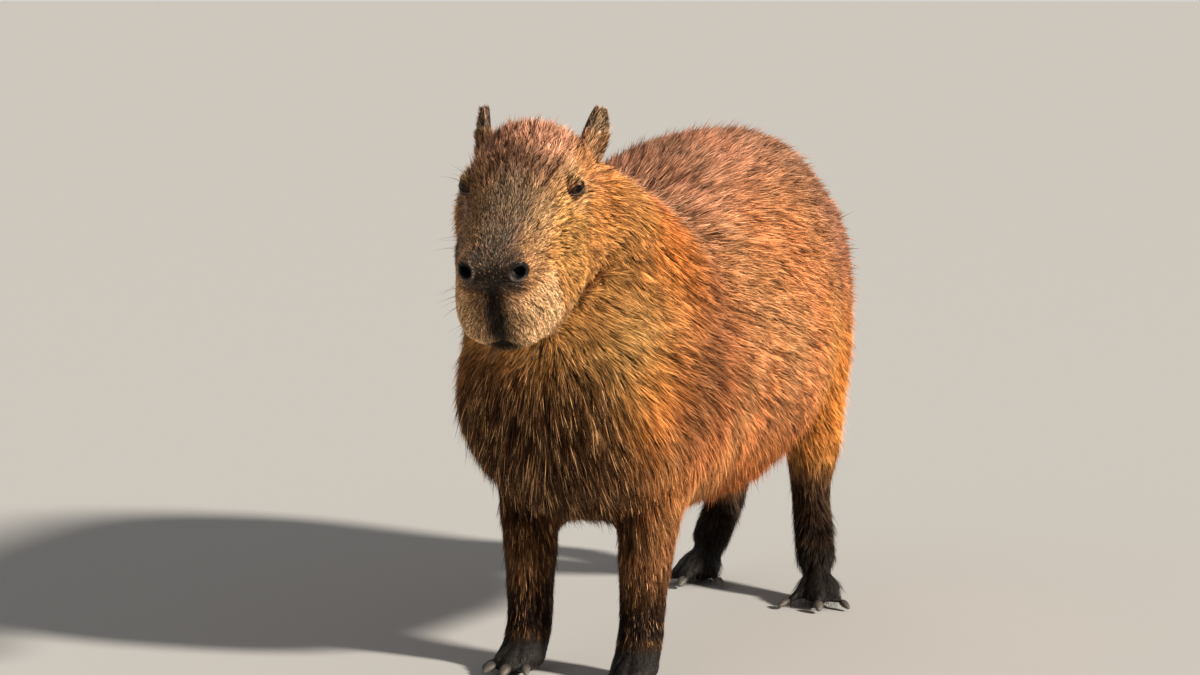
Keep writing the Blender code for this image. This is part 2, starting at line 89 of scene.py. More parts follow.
def turned(vectors: Array, axes: Array, angles: Array) -> Array:
    """Rows turned about their own unit axes.

    Args:
        vectors: Rows at right angles to their axes.
        axes: One unit axis for each row.
        angles: One angle for each row, in radians.

    Returns:
        The turned rows.
    """
    return vectors * np.cos(angles)[:, None] + np.cross(axes, vectors) * np.sin(angles)[:, None]


@dataclass(frozen=True)
class Wobble:
    """Smooth seeded noise in space, mostly between -1 and 1."""

    wavelength: float
    seed: int
    waves: int = 9

    def at(self, points: Array) -> Array:
        """The noise at each point.

        Args:
            points: Rows of places.

        Returns:
            One value for each row.
        """
        draw = np.random.default_rng(self.seed)
        ways = unit(draw.normal(size=(self.waves, 3))) * draw.uniform(0.6, 1.7, (self.waves, 1))
        phases = draw.uniform(0.0, math.tau, self.waves)
        total = np.sin(points @ ways.T * (math.tau / self.wavelength) + phases).sum(axis=1)
        return total / math.sqrt(self.waves)


# ---- meshes as arrays ---------------------------------------------------------------------------
def rows_of(items: bpy.types.bpy_prop_collection, key: str, width: int, kind: type = float) -> Array:
    """Reads one row of numbers for each item of a mesh.

    Args:
        items: The vertices, edges or triangles.
        key: What is read from each.
        width: How many numbers that is.
        kind: Their type.

    Returns:
        The rows.
    """
    flat = np.empty(len(items) * width, dtype=kind)
    items.foreach_get(key, flat)
    return flat.reshape(-1, width)


def points_of(mesh: Mesh) -> Array:
    """The mesh's vertices as rows."""
    return rows_of(mesh.vertices, "co", 3)


def normals_of(mesh: Mesh) -> Array:
    """The mesh's vertex normals as rows."""
    return rows_of(mesh.vertex_normals, "vector", 3)


def edges_of(mesh: Mesh) -> Array:
    """The mesh's edges as rows of two vertex numbers."""
    return rows_of(mesh.edges, "vertices", 2, np.int32)


def triangles_of(mesh: Mesh) -> Array:
    """The mesh's triangles as rows of three vertex numbers."""
    mesh.calc_loop_triangles()
    return rows_of(mesh.loop_triangles, "vertices", 3, np.int32)


def place_points(mesh: Mesh, points: Array) -> None:
    """Moves the mesh's vertices to the rows of points."""
    mesh.vertices.foreach_set("co", points.ravel())
    mesh.update()


def neighbour_mean(values: Array, edges: Array) -> Array:
    """The mean of each vertex's neighbours.

    Args:
        values: One row for each vertex.
        edges: Rows of two vertex numbers.

    Returns:
        Rows like the values.
    """
    size = len(values)
    count = np.maximum(np.bincount(edges.ravel(), minlength=size), 1)
    total = np.empty_like(values)
    for column in range(values.shape[1]):
        one = np.bincount(edges[:, 0], values[edges[:, 1], column], size)
        two = np.bincount(edges[:, 1], values[edges[:, 0], column], size)
        total[:, column] = one + two
    return total / count[:, None]


def spread(values: Array, edges: Array, rounds: int, share: float | Array = 0.5) -> Array:
    """Smooths values over the mesh.

    Args:
        values: One row for each vertex.
        edges: Rows of two vertex numbers.
        rounds: How often the neighbours are averaged.
        share: How far each vertex goes to its neighbours' mean, one number or one row each.

    Returns:
        The smoothed rows.
    """
    for _ in range(rounds):
        values = values + share * (neighbour_mean(values, edges) - values)
    return values


def soften(values: Array, edges: Array, rounds: int, share: float = 0.5) -> Array:
    """One number or one test for each vertex, smoothed over the mesh."""
    return spread(values.astype(float)[:, None], edges, rounds, share)[:, 0]


def ring_quads(rings: int, count: int) -> Array:
    """The quads between closed rings of vertices that are numbered ring by ring."""
    one = np.arange(rings * count).reshape(rings, count)
    return np.stack((one[:-1], np.roll(one[:-1], -1, 1), np.roll(one[1:], -1, 1), one[1:]), -1).reshape(-1, 4)


def joined_mesh(name: str, points: Array, *faces: Array) -> Mesh:
    """A mesh from arrays.

    Args:
        name: The mesh's name.
        points: Rows of vertices.
        faces: Rows of vertex numbers, one array for each number of corners.

    Returns:
        The mesh, shaded smooth.
    """
    corners = np.concatenate([part.ravel() for part in faces])
    sizes = np.concatenate([np.full(*part.shape) for part in faces])
    mesh = bpy.data.meshes.new(name)
    mesh.vertices.add(len(points))
    mesh.vertices.foreach_set("co", points.ravel())
    mesh.loops.add(len(corners))
    mesh.loops.foreach_set("vertex_index", corners.astype(np.int32))
    mesh.polygons.add(len(sizes))
    starts = np.concatenate(([0], np.cumsum(sizes)[:-1])).astype(np.int32)
    mesh.polygons.foreach_set("loop_start", starts)
    mesh.update(calc_edges=True)
    mesh.shade_smooth()
    return mesh


def paint(mesh: Mesh, name: str, values: Array) -> None:
    """Stores a value or a colour on each vertex.

    Args:
        mesh: The mesh to mark.
        name: The attribute's name.
        values: One number, or one row of three, for each vertex.
    """
    if values.ndim == 1:
        mesh.attributes.new(name, "FLOAT", "POINT").data.foreach_set("value", values)
        return
    colours = np.ones((len(values), 4))
    colours[:, :3] = values
    mesh.attributes.new(name, "FLOAT_COLOR", "POINT").data.foreach_set("color", colours.ravel())


def new_object(name: str, mesh: Mesh) -> Piece:
    """Puts a mesh in the scene.

    Args:
        name: The object's name.
        mesh: Its mesh.

    Returns:
        The object.
    """
    made = bpy.data.objects.new(name, mesh)
    bpy.context.scene.collection.objects.link(made)
    return made


def settled(made: Piece) -> Mesh:
    """Applies an object's modifiers.

    Args:
        made: An object with modifiers.

    Returns:
        Its new mesh, which the object now has.
    """
    graph = bpy.context.evaluated_depsgraph_get()
    mesh = bpy.data.meshes.new_from_object(made.evaluated_get(graph))
    made.modifiers.clear()
    made.data = mesh
    return mesh


# ---- where things are ---------------------------------------------------------------------------
class Side(Enum):
    """A side of the animal, and its sign along +X."""

    LEFT = 1
    RIGHT = -1

    @property
    def word(self) -> str:
        """The side's name as the frame's nodes have it."""
        return self.name.lower()


def node_middle(name: str) -> Array:
    """The middle of a node's box."""
    low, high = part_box(name)
    return (np.array(low) + np.array(high)) / 2


@dataclass(frozen=True)
class HeadFrame:
    """The head's own axes, measured from the midpoint between the eyes."""

    pitch: float = math.radians(28.5)

    @property
    def centre(self) -> Array:
        """The midpoint between the eyes."""
        return (node_middle("eye_left") + node_middle("eye_right")) / 2

    @property
    def axes(self) -> Array:
        """The head's three unit directions.

        Returns:
            Rows: to the animal's left, up out of the brow, and ahead along the nose.
        """
        left = unit(node_middle("eye_left") - node_middle("eye_right"))
        level = np.cross(left, (0.0, 0.0, 1.0))
        ahead = math.cos(self.pitch) * unit(level) - math.sin(self.pitch) * np.array((0.0, 0.0, 1.0))
        return np.array((left, np.cross(ahead, left), ahead))

    def local(self, points: Array) -> Array:
        """Places in the world as rows of left, up and ahead."""
        return (points - self.centre) @ self.axes.T

    def from_nostril(self, place: Array, side: Side, ahead: float) -> Array:
        """Rows of left, up and ahead, counted from inside the nostril on one side."""
        return place - (side.value * 0.0275, -0.007, ahead)

    def mouth_line(self, place: Array) -> Array:
        """How far rows of left, up and ahead are above the slit of the mouth."""
        return place[:, 1] + 0.0965 + 0.16 * np.abs(place[:, 0])

    def world(self, *places: Triple) -> Array:
        """Rows of left, up and ahead as places in the world."""
        return np.array(places) @ self.axes + self.centre

    def way(self, left: float, up: float, ahead: float) -> Array:
        """A unit direction in the world from the head's own numbers."""
        return unit(np.array((left, up, ahead)) @ self.axes)


# ---- node trees ---------------------------------------------------------------------------------
@dataclass
class Sheet:
    """A node tree with short ways to add and join nodes."""

    tree: NodeTree

    def add(
        self, kind: str, inputs: dict[str | int, object] | None = None, **settings: object
    ) -> Node:
        """Adds a node.

        Args:
            kind: The node's class without the words ShaderNode.
            inputs: For each input, a value or another node's output socket.
            settings: Properties of the node.

        Returns:
            The node.
        """
        made = self.tree.nodes.new("ShaderNode" + kind)
        for name, value in settings.items():
            setattr(made, name, value)
        self.wire(made, inputs or {})
        return made

    def wire(self, node: Node, inputs: dict[str | int, object]) -> None:
        """Sets or links a node's inputs.

        Args:
            node: The node.
            inputs: For each input, a value or another node's output socket.
        """
        for name, value in inputs.items():
            if isinstance(value, Socket):
                self.tree.links.new(value, node.inputs[name])
            else:
                node.inputs[name].default_value = value

    def math(self, operation: str, *values: object) -> Socket:
        """The output of a Math node on numbers or sockets."""
        return self.add("Math", dict(enumerate(values)), operation=operation).outputs[0]

    def mix(self, blend: str, factor: object, one: object, two: object) -> Socket:
        """The output of a colour Mix node.

        Args:
            blend: The blend type.
            factor: A number or socket.
            one: The colour or socket underneath.
            two: The colour or socket on top.

        Returns:
            The mixed colour's socket.
        """
        colours = [part if isinstance(part, Socket) else (*part, 1.0) for part in (one, two)]
        inputs = {0: factor, 6: colours[0], 7: colours[1]}
        return self.add("Mix", inputs, data_type="RGBA", blend_type=blend).outputs[2]

    def range(self, value: object, *ends: float, smooth: bool = False) -> Socket:
        """The output of a Map Range node.

        Args:
            value: A number or socket.
            ends: The range it is in, and the range it goes to where that isn't 0 to 1.
            smooth: Whether it eases in and out.

        Returns:
            The new value's socket.
        """
        labels = ("From Min", "From Max", "To Min", "To Max")
        inputs = {"Value": value} | dict(zip(labels, (*ends, 0.0, 1.0)))
        kind = "SMOOTHSTEP" if smooth else "LINEAR"
        return self.add("MapRange", inputs, interpolation_type=kind).outputs[0]

    def attribute(self, name: str, output: str = "Fac") -> Socket:
        """A stored value of the mesh."""
        return self.add("Attribute", attribute_name=name).outputs[output]


SocketPlan = dict[str, tuple[str, object]]


def new_group(
    name: str, inputs: SocketPlan, outputs: dict[str, str]
) -> tuple[Sheet, Node, Node]:
    """Starts a shader node group.

    Args:
        name: The group's name.
        inputs: For each input, its socket type's last word and its value.
        outputs: For each output, its socket type's last word.

    Returns:
        The sheet, the group's input node and its output node.
    """
    tree = bpy.data.node_groups.new(name, "ShaderNodeTree")
    for label, (kind, value) in inputs.items():
        made = tree.interface.new_socket(label, in_out="INPUT", socket_type="NodeSocket" + kind)
        made.default_value = value
    for label, kind in outputs.items():
        tree.interface.new_socket(label, in_out="OUTPUT", socket_type="NodeSocket" + kind)
    return Sheet(tree), tree.nodes.new("NodeGroupInput"), tree.nodes.new("NodeGroupOutput")


def hair_colour_group() -> NodeTree:
    """Builds the group that colours a hair from its dark root, partly painted shade deep in the coat, to its
    pale tip.

    Returns:
        The node group.
    """
    sheet, source, sink = new_group(
        "Hair Colour",
        {
            "Tone": ("Color", (0.4, 0.2, 0.1, 1.0)),
            "Along": ("Float", 0.5),
            "Shade": ("Float", 0.5),
            "Root Dark": ("Float", 0.25),
            "Tip Gold": ("Float", 0.3),
        },
        {"Color": "Color"},
    )
    tone, along, shade = (source.outputs[k] for k in ("Tone", "Along", "Shade"))
    rooted = sheet.range(along, 0.12, 0.62, smooth=True)
    # The darkened root is partly the hair's own colour and partly painted shade deep in the coat, between the
    # tufts.
    dark = sheet.mix("MULTIPLY", 1.0, tone, (0.34, 0.22, 0.15))
    dark = sheet.mix("MIX", source.outputs["Root Dark"], dark, (0.012, 0.006, 0.004))
    body = sheet.mix("MIX", rooted, dark, tone)
    gold = sheet.mix("SCREEN", 1.0, tone, sheet.mix("MULTIPLY", 1.0, tone, (0.95, 1.10, 1.30)))
    gold = sheet.mix("SCREEN", 0.18, gold, (0.42, 0.31, 0.19))
    tipped = sheet.range(along, 0.40, 1.0, smooth=True)
    tipped = sheet.math("MULTIPLY", tipped, sheet.range(shade, 0.30, 0.75, 0.10, 1.0, smooth=True))
    tipped = sheet.math("MULTIPLY", tipped, source.outputs["Tip Gold"])
    body = sheet.mix("MIX", tipped, body, gold)
    bright = sheet.range(shade, 0.0, 1.0, 0.03, 2.56)
    colour = sheet.add("VectorMath", {0: body, "Scale": bright}, operation="SCALE").outputs[0]
    sheet.wire(sink, {"Color": colour})
    return sheet.tree


def grain_group() -> NodeTree:
    """Builds the group of fine creases and pores that skin, horn and pads share.

    Returns:
        The node group.
    """
    sheet, source, sink = new_group(
        "Grain",
        {"Size": ("Float", 300.0), "Stretch": ("Vector", (1.0, 1.0, 1.0)), "Depth": ("Float", 0.5)},
        {"Height": "Float", "Mask": "Float"},
    )
    place = sheet.add("TexCoord").outputs["Object"]
    place = sheet.add("VectorMath", {0: place, 1: source.outputs["Stretch"]}, operation="MULTIPLY").outputs[0]
    size = source.outputs["Size"]
    cells = sheet.add(
        "TexVoronoi", {"Vector": place, "Scale": size, "Randomness": 0.9}, feature="DISTANCE_TO_EDGE"
    ).outputs["Distance"]
    noise = sheet.add("TexNoise", {"Vector": place, "Scale": size, "Detail": 4.0}).outputs["Fac"]
    pits = sheet.range(cells, 0.0, 0.25, smooth=True)
    height = sheet.math("MULTIPLY", sheet.math("ADD", pits, noise), source.outputs["Depth"])
    sheet.wire(sink, {"Height": height, "Mask": noise})
    return sheet.tree


@dataclass
class Groups:
    """The node groups, built once."""

    hair: NodeTree = field(default_factory=hair_colour_group)
    grain: NodeTree = field(default_factory=grain_group)


def new_material(name: str, constants: dict[str, object]) -> tuple[Material, Sheet, Node]:
    """Starts a material with a Principled BSDF.

    Args:
        name: The material's name.
        constants: Values set straight on the shader's own sockets.

    Returns:
        The material, its sheet and its shader node.
    """
    material = bpy.data.materials.new(name)
    material.use_nodes = True
    shader = material.node_tree.nodes["Principled BSDF"]
    sheet = Sheet(material.node_tree)
    sheet.wire(shader, constants)
    return material, sheet, shader


# ---- finishes -----------------------------------------------------------------------------------
@dataclass(frozen=True)
class HairFinish:
    """Coarse hair, dark at its root, partly as painted shade deep in the coat, and paler at its tip."""

    name: str
    roughness: float = 0.52
    root_dark: float = 0.75
    tip_gold: float = 0.62
    specular: float = 0.08

    def material(self, groups: Groups) -> Material:
        """Builds the material.

        Args:
            groups: The shared node groups.

        Returns:
            The material.
        """
        constants = {
            "Roughness": self.roughness, "Specular IOR Level": self.specular,
            "Specular Tint": (1.0, 0.80, 0.60, 1.0),
        }
        material, sheet, shader = new_material(self.name, constants)
        marks = {
            "Tone": sheet.attribute("tone", "Color"), "Along": sheet.attribute("along"),
            "Shade": sheet.attribute("shade"), "Root Dark": self.root_dark, "Tip Gold": self.tip_gold,
        }
        hair = sheet.add("Group", marks, node_tree=groups.hair)
        sheet.wire(shader, {"Base Color": hair.outputs["Color"]})
        return material


@dataclass(frozen=True)
class SkinFinish:
    """Skin under the coat, and the bare grey-brown leather of nose, lids and feet."""

    name: str = "skin"
    bare: Colour = (0.007, 0.006, 0.0055)
    pale: Colour = (0.030, 0.024, 0.020)

    def material(self, groups: Groups) -> Material:
        """Builds the material.

        Args:
            groups: The shared node groups.

        Returns:
            The material.
        """
        material, sheet, shader = new_material(self.name, {"Specular IOR Level": 0.20})
        naked = sheet.attribute("bare")
        # The skin under the coat is painted dark: partly its own colour, partly painted shade in the gaps
        # between tufts.
        under = sheet.mix("MULTIPLY", 1.0, sheet.attribute("tone", "Color"), (0.30, 0.22, 0.18))
        grain = sheet.add("Group", {"Size": 420.0, "Depth": 0.6}, node_tree=groups.grain)
        mottle = sheet.range(grain.outputs["Mask"], 0.35, 0.75)
        leather = sheet.mix("MIX", mottle, self.bare, self.pale)
        # The skin's marks darken the leather in the nostrils' holes and the mouth's slit as painted shade,
        # and lighten the nostrils' lower rims.
        worn = sheet.mix("MULTIPLY", 1.0, leather, sheet.attribute("stain", "Color"))
        fine = sheet.add("Group", {"Size": 950.0, "Depth": 0.35}, node_tree=groups.grain)
        height = sheet.math("ADD", grain.outputs["Height"], fine.outputs["Height"])
        bump = sheet.add("Bump", {"Height": height, "Strength": 0.55, "Distance": 0.0006})
        ends = {
            "Base Color": sheet.mix("MIX", naked, under, worn),
            "Roughness": sheet.range(naked, 0.0, 1.0, 0.85, 0.48), "Normal": bump.outputs["Normal"],
        }
        sheet.wire(shader, ends)
        return material


@dataclass(frozen=True)
class EyeFinish:
    """A dark brown eye, wet and glossy."""

    name: str = "eye"
    iris: Colour = (0.045, 0.018, 0.010)
    rim: Colour = (0.008, 0.004, 0.003)
    pupil: Colour = (0.002, 0.0015, 0.0015)

    def material(self) -> Material:
        """Builds the material.

        Returns:
            The material.
        """
        constants = {
            "Roughness": 0.08, "Specular IOR Level": 0.06, "Coat Weight": 0.06, "Coat Roughness": 0.02,
        }
        material, sheet, shader = new_material(self.name, constants)
        radial = sheet.attribute("radial")
        streaks = sheet.add("TexNoise", {"Scale": 900.0, "Detail": 3.0}).outputs["Fac"]
        ring = sheet.mix("MIX", sheet.range(streaks, 0.35, 0.7, 0.0, 0.6), self.iris, self.rim)
        outer = sheet.mix("MIX", sheet.range(radial, 0.62, 0.80, smooth=True), ring, self.rim)
        colour = sheet.mix("MIX", sheet.range(radial, 0.16, 0.24, 1.0, 0.0, smooth=True), outer, self.pupil)
        sheet.wire(shader, {"Base Color": colour})
        return material


@dataclass(frozen=True)
class HornFinish:
    """Blunt grey-brown horn, paler and scuffed towards its tip."""

    name: str = "horn"
    dark: Colour = (0.030, 0.025, 0.022)
    pale: Colour = (0.115, 0.098, 0.080)

    def material(self, groups: Groups) -> Material:
        """Builds the material.

        Args:
            groups: The shared node groups.

        Returns:
            The material.
        """
        material, sheet, shader = new_material(self.name, {"Specular IOR Level": 0.45})
        inputs = {"Size": 260.0, "Depth": 0.4, "Stretch": (3.0, 0.6, 3.0)}
        grain = sheet.add("Group", inputs, node_tree=groups.grain)
        mask = grain.outputs["Mask"]
        along = sheet.math("ADD", sheet.attribute("along"), sheet.range(mask, 0.2, 0.8, -0.3, 0.3))
        worn = sheet.range(along, 0.15, 0.95, smooth=True)
        bump = sheet.add("Bump", {"Height": grain.outputs["Height"], "Strength": 0.5, "Distance": 0.0004})
        ends = {
            "Base Color": sheet.mix("MIX", worn, self.dark, self.pale),
            "Roughness": sheet.range(mask, 0.3, 0.7, 0.38, 0.6), "Normal": bump.outputs["Normal"],
        }
        sheet.wire(shader, ends)
        return material


@dataclass(frozen=True)
class FloorFinish:
    """A plain pale matt floor."""

    name: str = "floor"
    colour: Colour = (0.55, 0.538, 0.527)

    def material(self) -> Material:
        """Builds the material.

        Returns:
            The material.
        """
        material, sheet, shader = new_material(self.name, {"Roughness": 0.9, "Specular IOR Level": 0.1})
        noise = sheet.add("TexNoise", {"Scale": 3.0, "Detail": 3.0}).outputs["Fac"]
        warm = tuple(0.97 * part for part in self.colour)
        colour = sheet.mix("MIX", sheet.range(noise, 0.3, 0.7), self.colour, warm)
        sheet.wire(shader, {"Base Color": colour})
        return material


# ---- the coat's zones ---------------------------------------------------------------------------
class Zone(Enum):
    """The parts of the skin that grow different hair."""

    NOSE, LIPS, BRIDGE, CHEEK, LID, BROW, CROWN, JAW = range(8)
    THROAT, NECK, NAPE, CHEST, SHOULDER, BACK, FLANK, BELLY = range(8, 16)
    RUMP, THIGH, SHANK, HIND_FOOT, UPPER_ARM, FOREARM, FORE_FOOT = range(16, 23)


def among(zone: Array, *wanted: Zone) -> Array:
    """Which zone numbers are one of the wanted zones."""
    return np.isin(zone, [part.value for part in wanted])


@dataclass(frozen=True)
class Pelt:
    """How the coat grows in a zone: millimetres, degrees, and tufts to a square centimetre."""

    length: float
    width: float
    lift: float
    density: float
    tone: Colour
    lie: Triple = (0.0, 0.0, 0.0)
    droop: float = 0.0
    parted: float = 0.0

    def row(self) -> list[float]:
        """The pelt as one row of numbers."""
        sizes = (self.length, self.width, self.lift, self.density)
        return [*sizes, *self.tone, *self.lie, self.droop, self.parted]


RUST: Colour = (0.39, 0.148, 0.053)
AUBURN: Colour = (0.30, 0.120, 0.066)
UMBER: Colour = (0.125, 0.054, 0.024)
SOOT: Colour = (0.010, 0.008, 0.007)

PELTS: dict[Zone, Pelt] = {
    Zone.NOSE: Pelt(3.0, 0.42, 18, 120, (0.190, 0.140, 0.105)),
    Zone.LIPS: Pelt(5.5, 0.50, 19, 115, (0.72, 0.420, 0.200)),
    Zone.BRIDGE: Pelt(6.0, 0.50, 20, 115, (0.40, 0.215, 0.095)),
    Zone.CHEEK: Pelt(11.0, 0.58, 13, 105, (0.42, 0.180, 0.050)),
    Zone.LID: Pelt(5.0, 0.42, 13, 120, (0.56, 0.29, 0.12)),
    Zone.BROW: Pelt(10.0, 0.60, 21, 105, (0.36, 0.175, 0.085)),
    Zone.CROWN: Pelt(19.0, 0.72, 33, 80, (0.37, 0.165, 0.092)),
    Zone.JAW: Pelt(13.0, 0.65, 18, 88, (0.26, 0.135, 0.055), droop=0.20),
    Zone.THROAT: Pelt(30.0, 0.85, 20, 58, UMBER, (0.0, -0.10, -1.0), 0.25, 0.45),
    Zone.NECK: Pelt(26.0, 0.80, 15, 62, (0.67, 0.220, 0.030), (0.0, 0.85, -0.85), 0.05),
    Zone.NAPE: Pelt(31.0, 0.90, 25, 56, (0.27, 0.105, 0.055), (0.0, 1.0, 0.0)),
    Zone.CHEST: Pelt(36.0, 0.90, 20, 54, UMBER, (0.0, -0.02, -1.0), 0.20, 0.45),
    Zone.SHOULDER: Pelt(33.0, 0.88, 14, 54, (0.195, 0.064, 0.024), (0.0, 1.0, -0.45)),
    Zone.BACK: Pelt(36.0, 0.95, 25, 50, (0.27, 0.112, 0.061), (0.0, 1.0, 0.0)),
    Zone.FLANK: Pelt(36.0, 0.92, 14, 50, RUST, (0.0, 1.0, -0.34)),
    Zone.BELLY: Pelt(36.0, 0.90, 20, 38, (0.20, 0.046, 0.005), (0.0, 0.8, -0.75), 0.20),
    Zone.RUMP: Pelt(36.0, 0.95, 23, 50, (0.178, 0.070, 0.038), (0.0, 1.0, -0.10)),
    Zone.THIGH: Pelt(31.0, 0.88, 15, 54, (0.52, 0.175, 0.032), (0.0, 0.70, -0.70)),
    Zone.SHANK: Pelt(13.0, 0.65, 14, 78, (0.090, 0.042, 0.022), (0.0, 0.20, -1.0)),
    Zone.HIND_FOOT: Pelt(3.2, 0.42, 12, 50, SOOT, (0.0, -0.35, -1.0)),
    Zone.UPPER_ARM: Pelt(30.0, 0.85, 14, 56, (0.26, 0.092, 0.027), (0.0, 0.42, -1.0)),
    Zone.FOREARM: Pelt(14.0, 0.60, 14, 105, (0.200, 0.085, 0.032), (0.0, 0.10, -1.0)),
    Zone.FORE_FOOT: Pelt(4.5, 0.45, 12, 70, SOOT, (0.0, -0.35, -1.0)),
}


@dataclass(frozen=True)
class Marking:
    """A soft-edged patch of colour on both halves of the head, or on the right half if it is at x < 0."""

    middle: Triple
    radii: Triple
    tone: Colour
    strength: float = 0.9
    soft: float = 0.40

    def over(self, place: Array, tone: Array) -> Array:
        """Lays the patch over colours.

        Args:
            place: Places on the head.
            tone: The colours there.

        Returns:
            The new colours.
        """
        offset = place.copy()
        if self.middle[0] >= 0:
            offset[:, 0] = np.abs(offset[:, 0])
        reach = np.linalg.norm((offset - self.middle) / self.radii, axis=1)
        cover = (self.strength * ease(1 + self.soft, 1 - self.soft, reach))[:, None]
        return tone * (1 - cover) + np.array(self.tone) * cover


MARKINGS: tuple[Marking, ...] = (
    Marking((0.0, 0.035, -0.080), (0.070, 0.050, 0.062), (0.37, 0.165, 0.092)),
    Marking((0.0, 0.045, -0.016), (0.052, 0.032, 0.030), (0.48, 0.220, 0.130), 0.85),
    Marking((0.055, -0.010, -0.050), (0.022, 0.030, 0.030), (0.42, 0.170, 0.065), 0.7),
    Marking((0.0, 0.035, 0.014), (0.034, 0.030, 0.022), (0.140, 0.064, 0.038), 0.80),
    # Painted shade on the right side of the face: a darker, greyer brown on that half only.
    Marking((-0.090, -0.030, 0.040), (0.048, 0.110, 0.140), (0.110, 0.068, 0.048), 0.88),
    Marking((0.0, 0.010, 0.075), (0.026, 0.034, 0.062), (0.190, 0.125, 0.085), 0.80),
    Marking((0.0, -0.055, 0.160), (0.021, 0.046, 0.034), (0.145, 0.082, 0.046), 0.80),
    Marking((0.0, 0.012, 0.145), (0.026, 0.016, 0.036), (0.150, 0.112, 0.086), 0.80),
    Marking((0.0, -0.010, 0.168), (0.030, 0.0085, 0.024), (0.034, 0.026, 0.021), 1.0, 0.30),
    # Painted shade: the chin under the mouth, and the lower lip along the mouth's slit, darkened as if shaded
    # by the muzzle.
    Marking((0.0, -0.112, 0.130), (0.024, 0.012, 0.036), (0.045, 0.030, 0.016), 0.90),
    Marking((0.0, -0.100, 0.165), (0.018, 0.007, 0.040), (0.020, 0.012, 0.008), 0.90),
    Marking((0.0, -0.055, 0.165), (0.0098, 0.050, 0.034), (0.022, 0.015, 0.011), 1.0, 0.45),
)


FACE_ZONES = tuple(zone for zone in Zone if zone.value <= Zone.JAW.value)


@dataclass
class Fields:
    """What the coat does at each vertex of the skin."""

    length: Array
    width: Array
    lift: Array
    density: Array
    tone: Array
    lie: Array
    droop: Array
    pale: Array
    zone: Array


FLESH_ZONES: dict[str, Zone] = {
    "head": Zone.CHEEK, "lower_jaw": Zone.JAW, "neck": Zone.NECK, "trunk": Zone.FLANK,
}
for _side in Side:
    FLESH_ZONES |= {
        f"foreleg_{_side.word}_upper": Zone.UPPER_ARM, f"foreleg_{_side.word}_lower": Zone.FOREARM,
        f"forefoot_{_side.word}": Zone.FORE_FOOT, f"thigh_{_side.word}": Zone.THIGH,
        f"shank_{_side.word}": Zone.SHANK, f"hindfoot_{_side.word}": Zone.HIND_FOOT,
    }


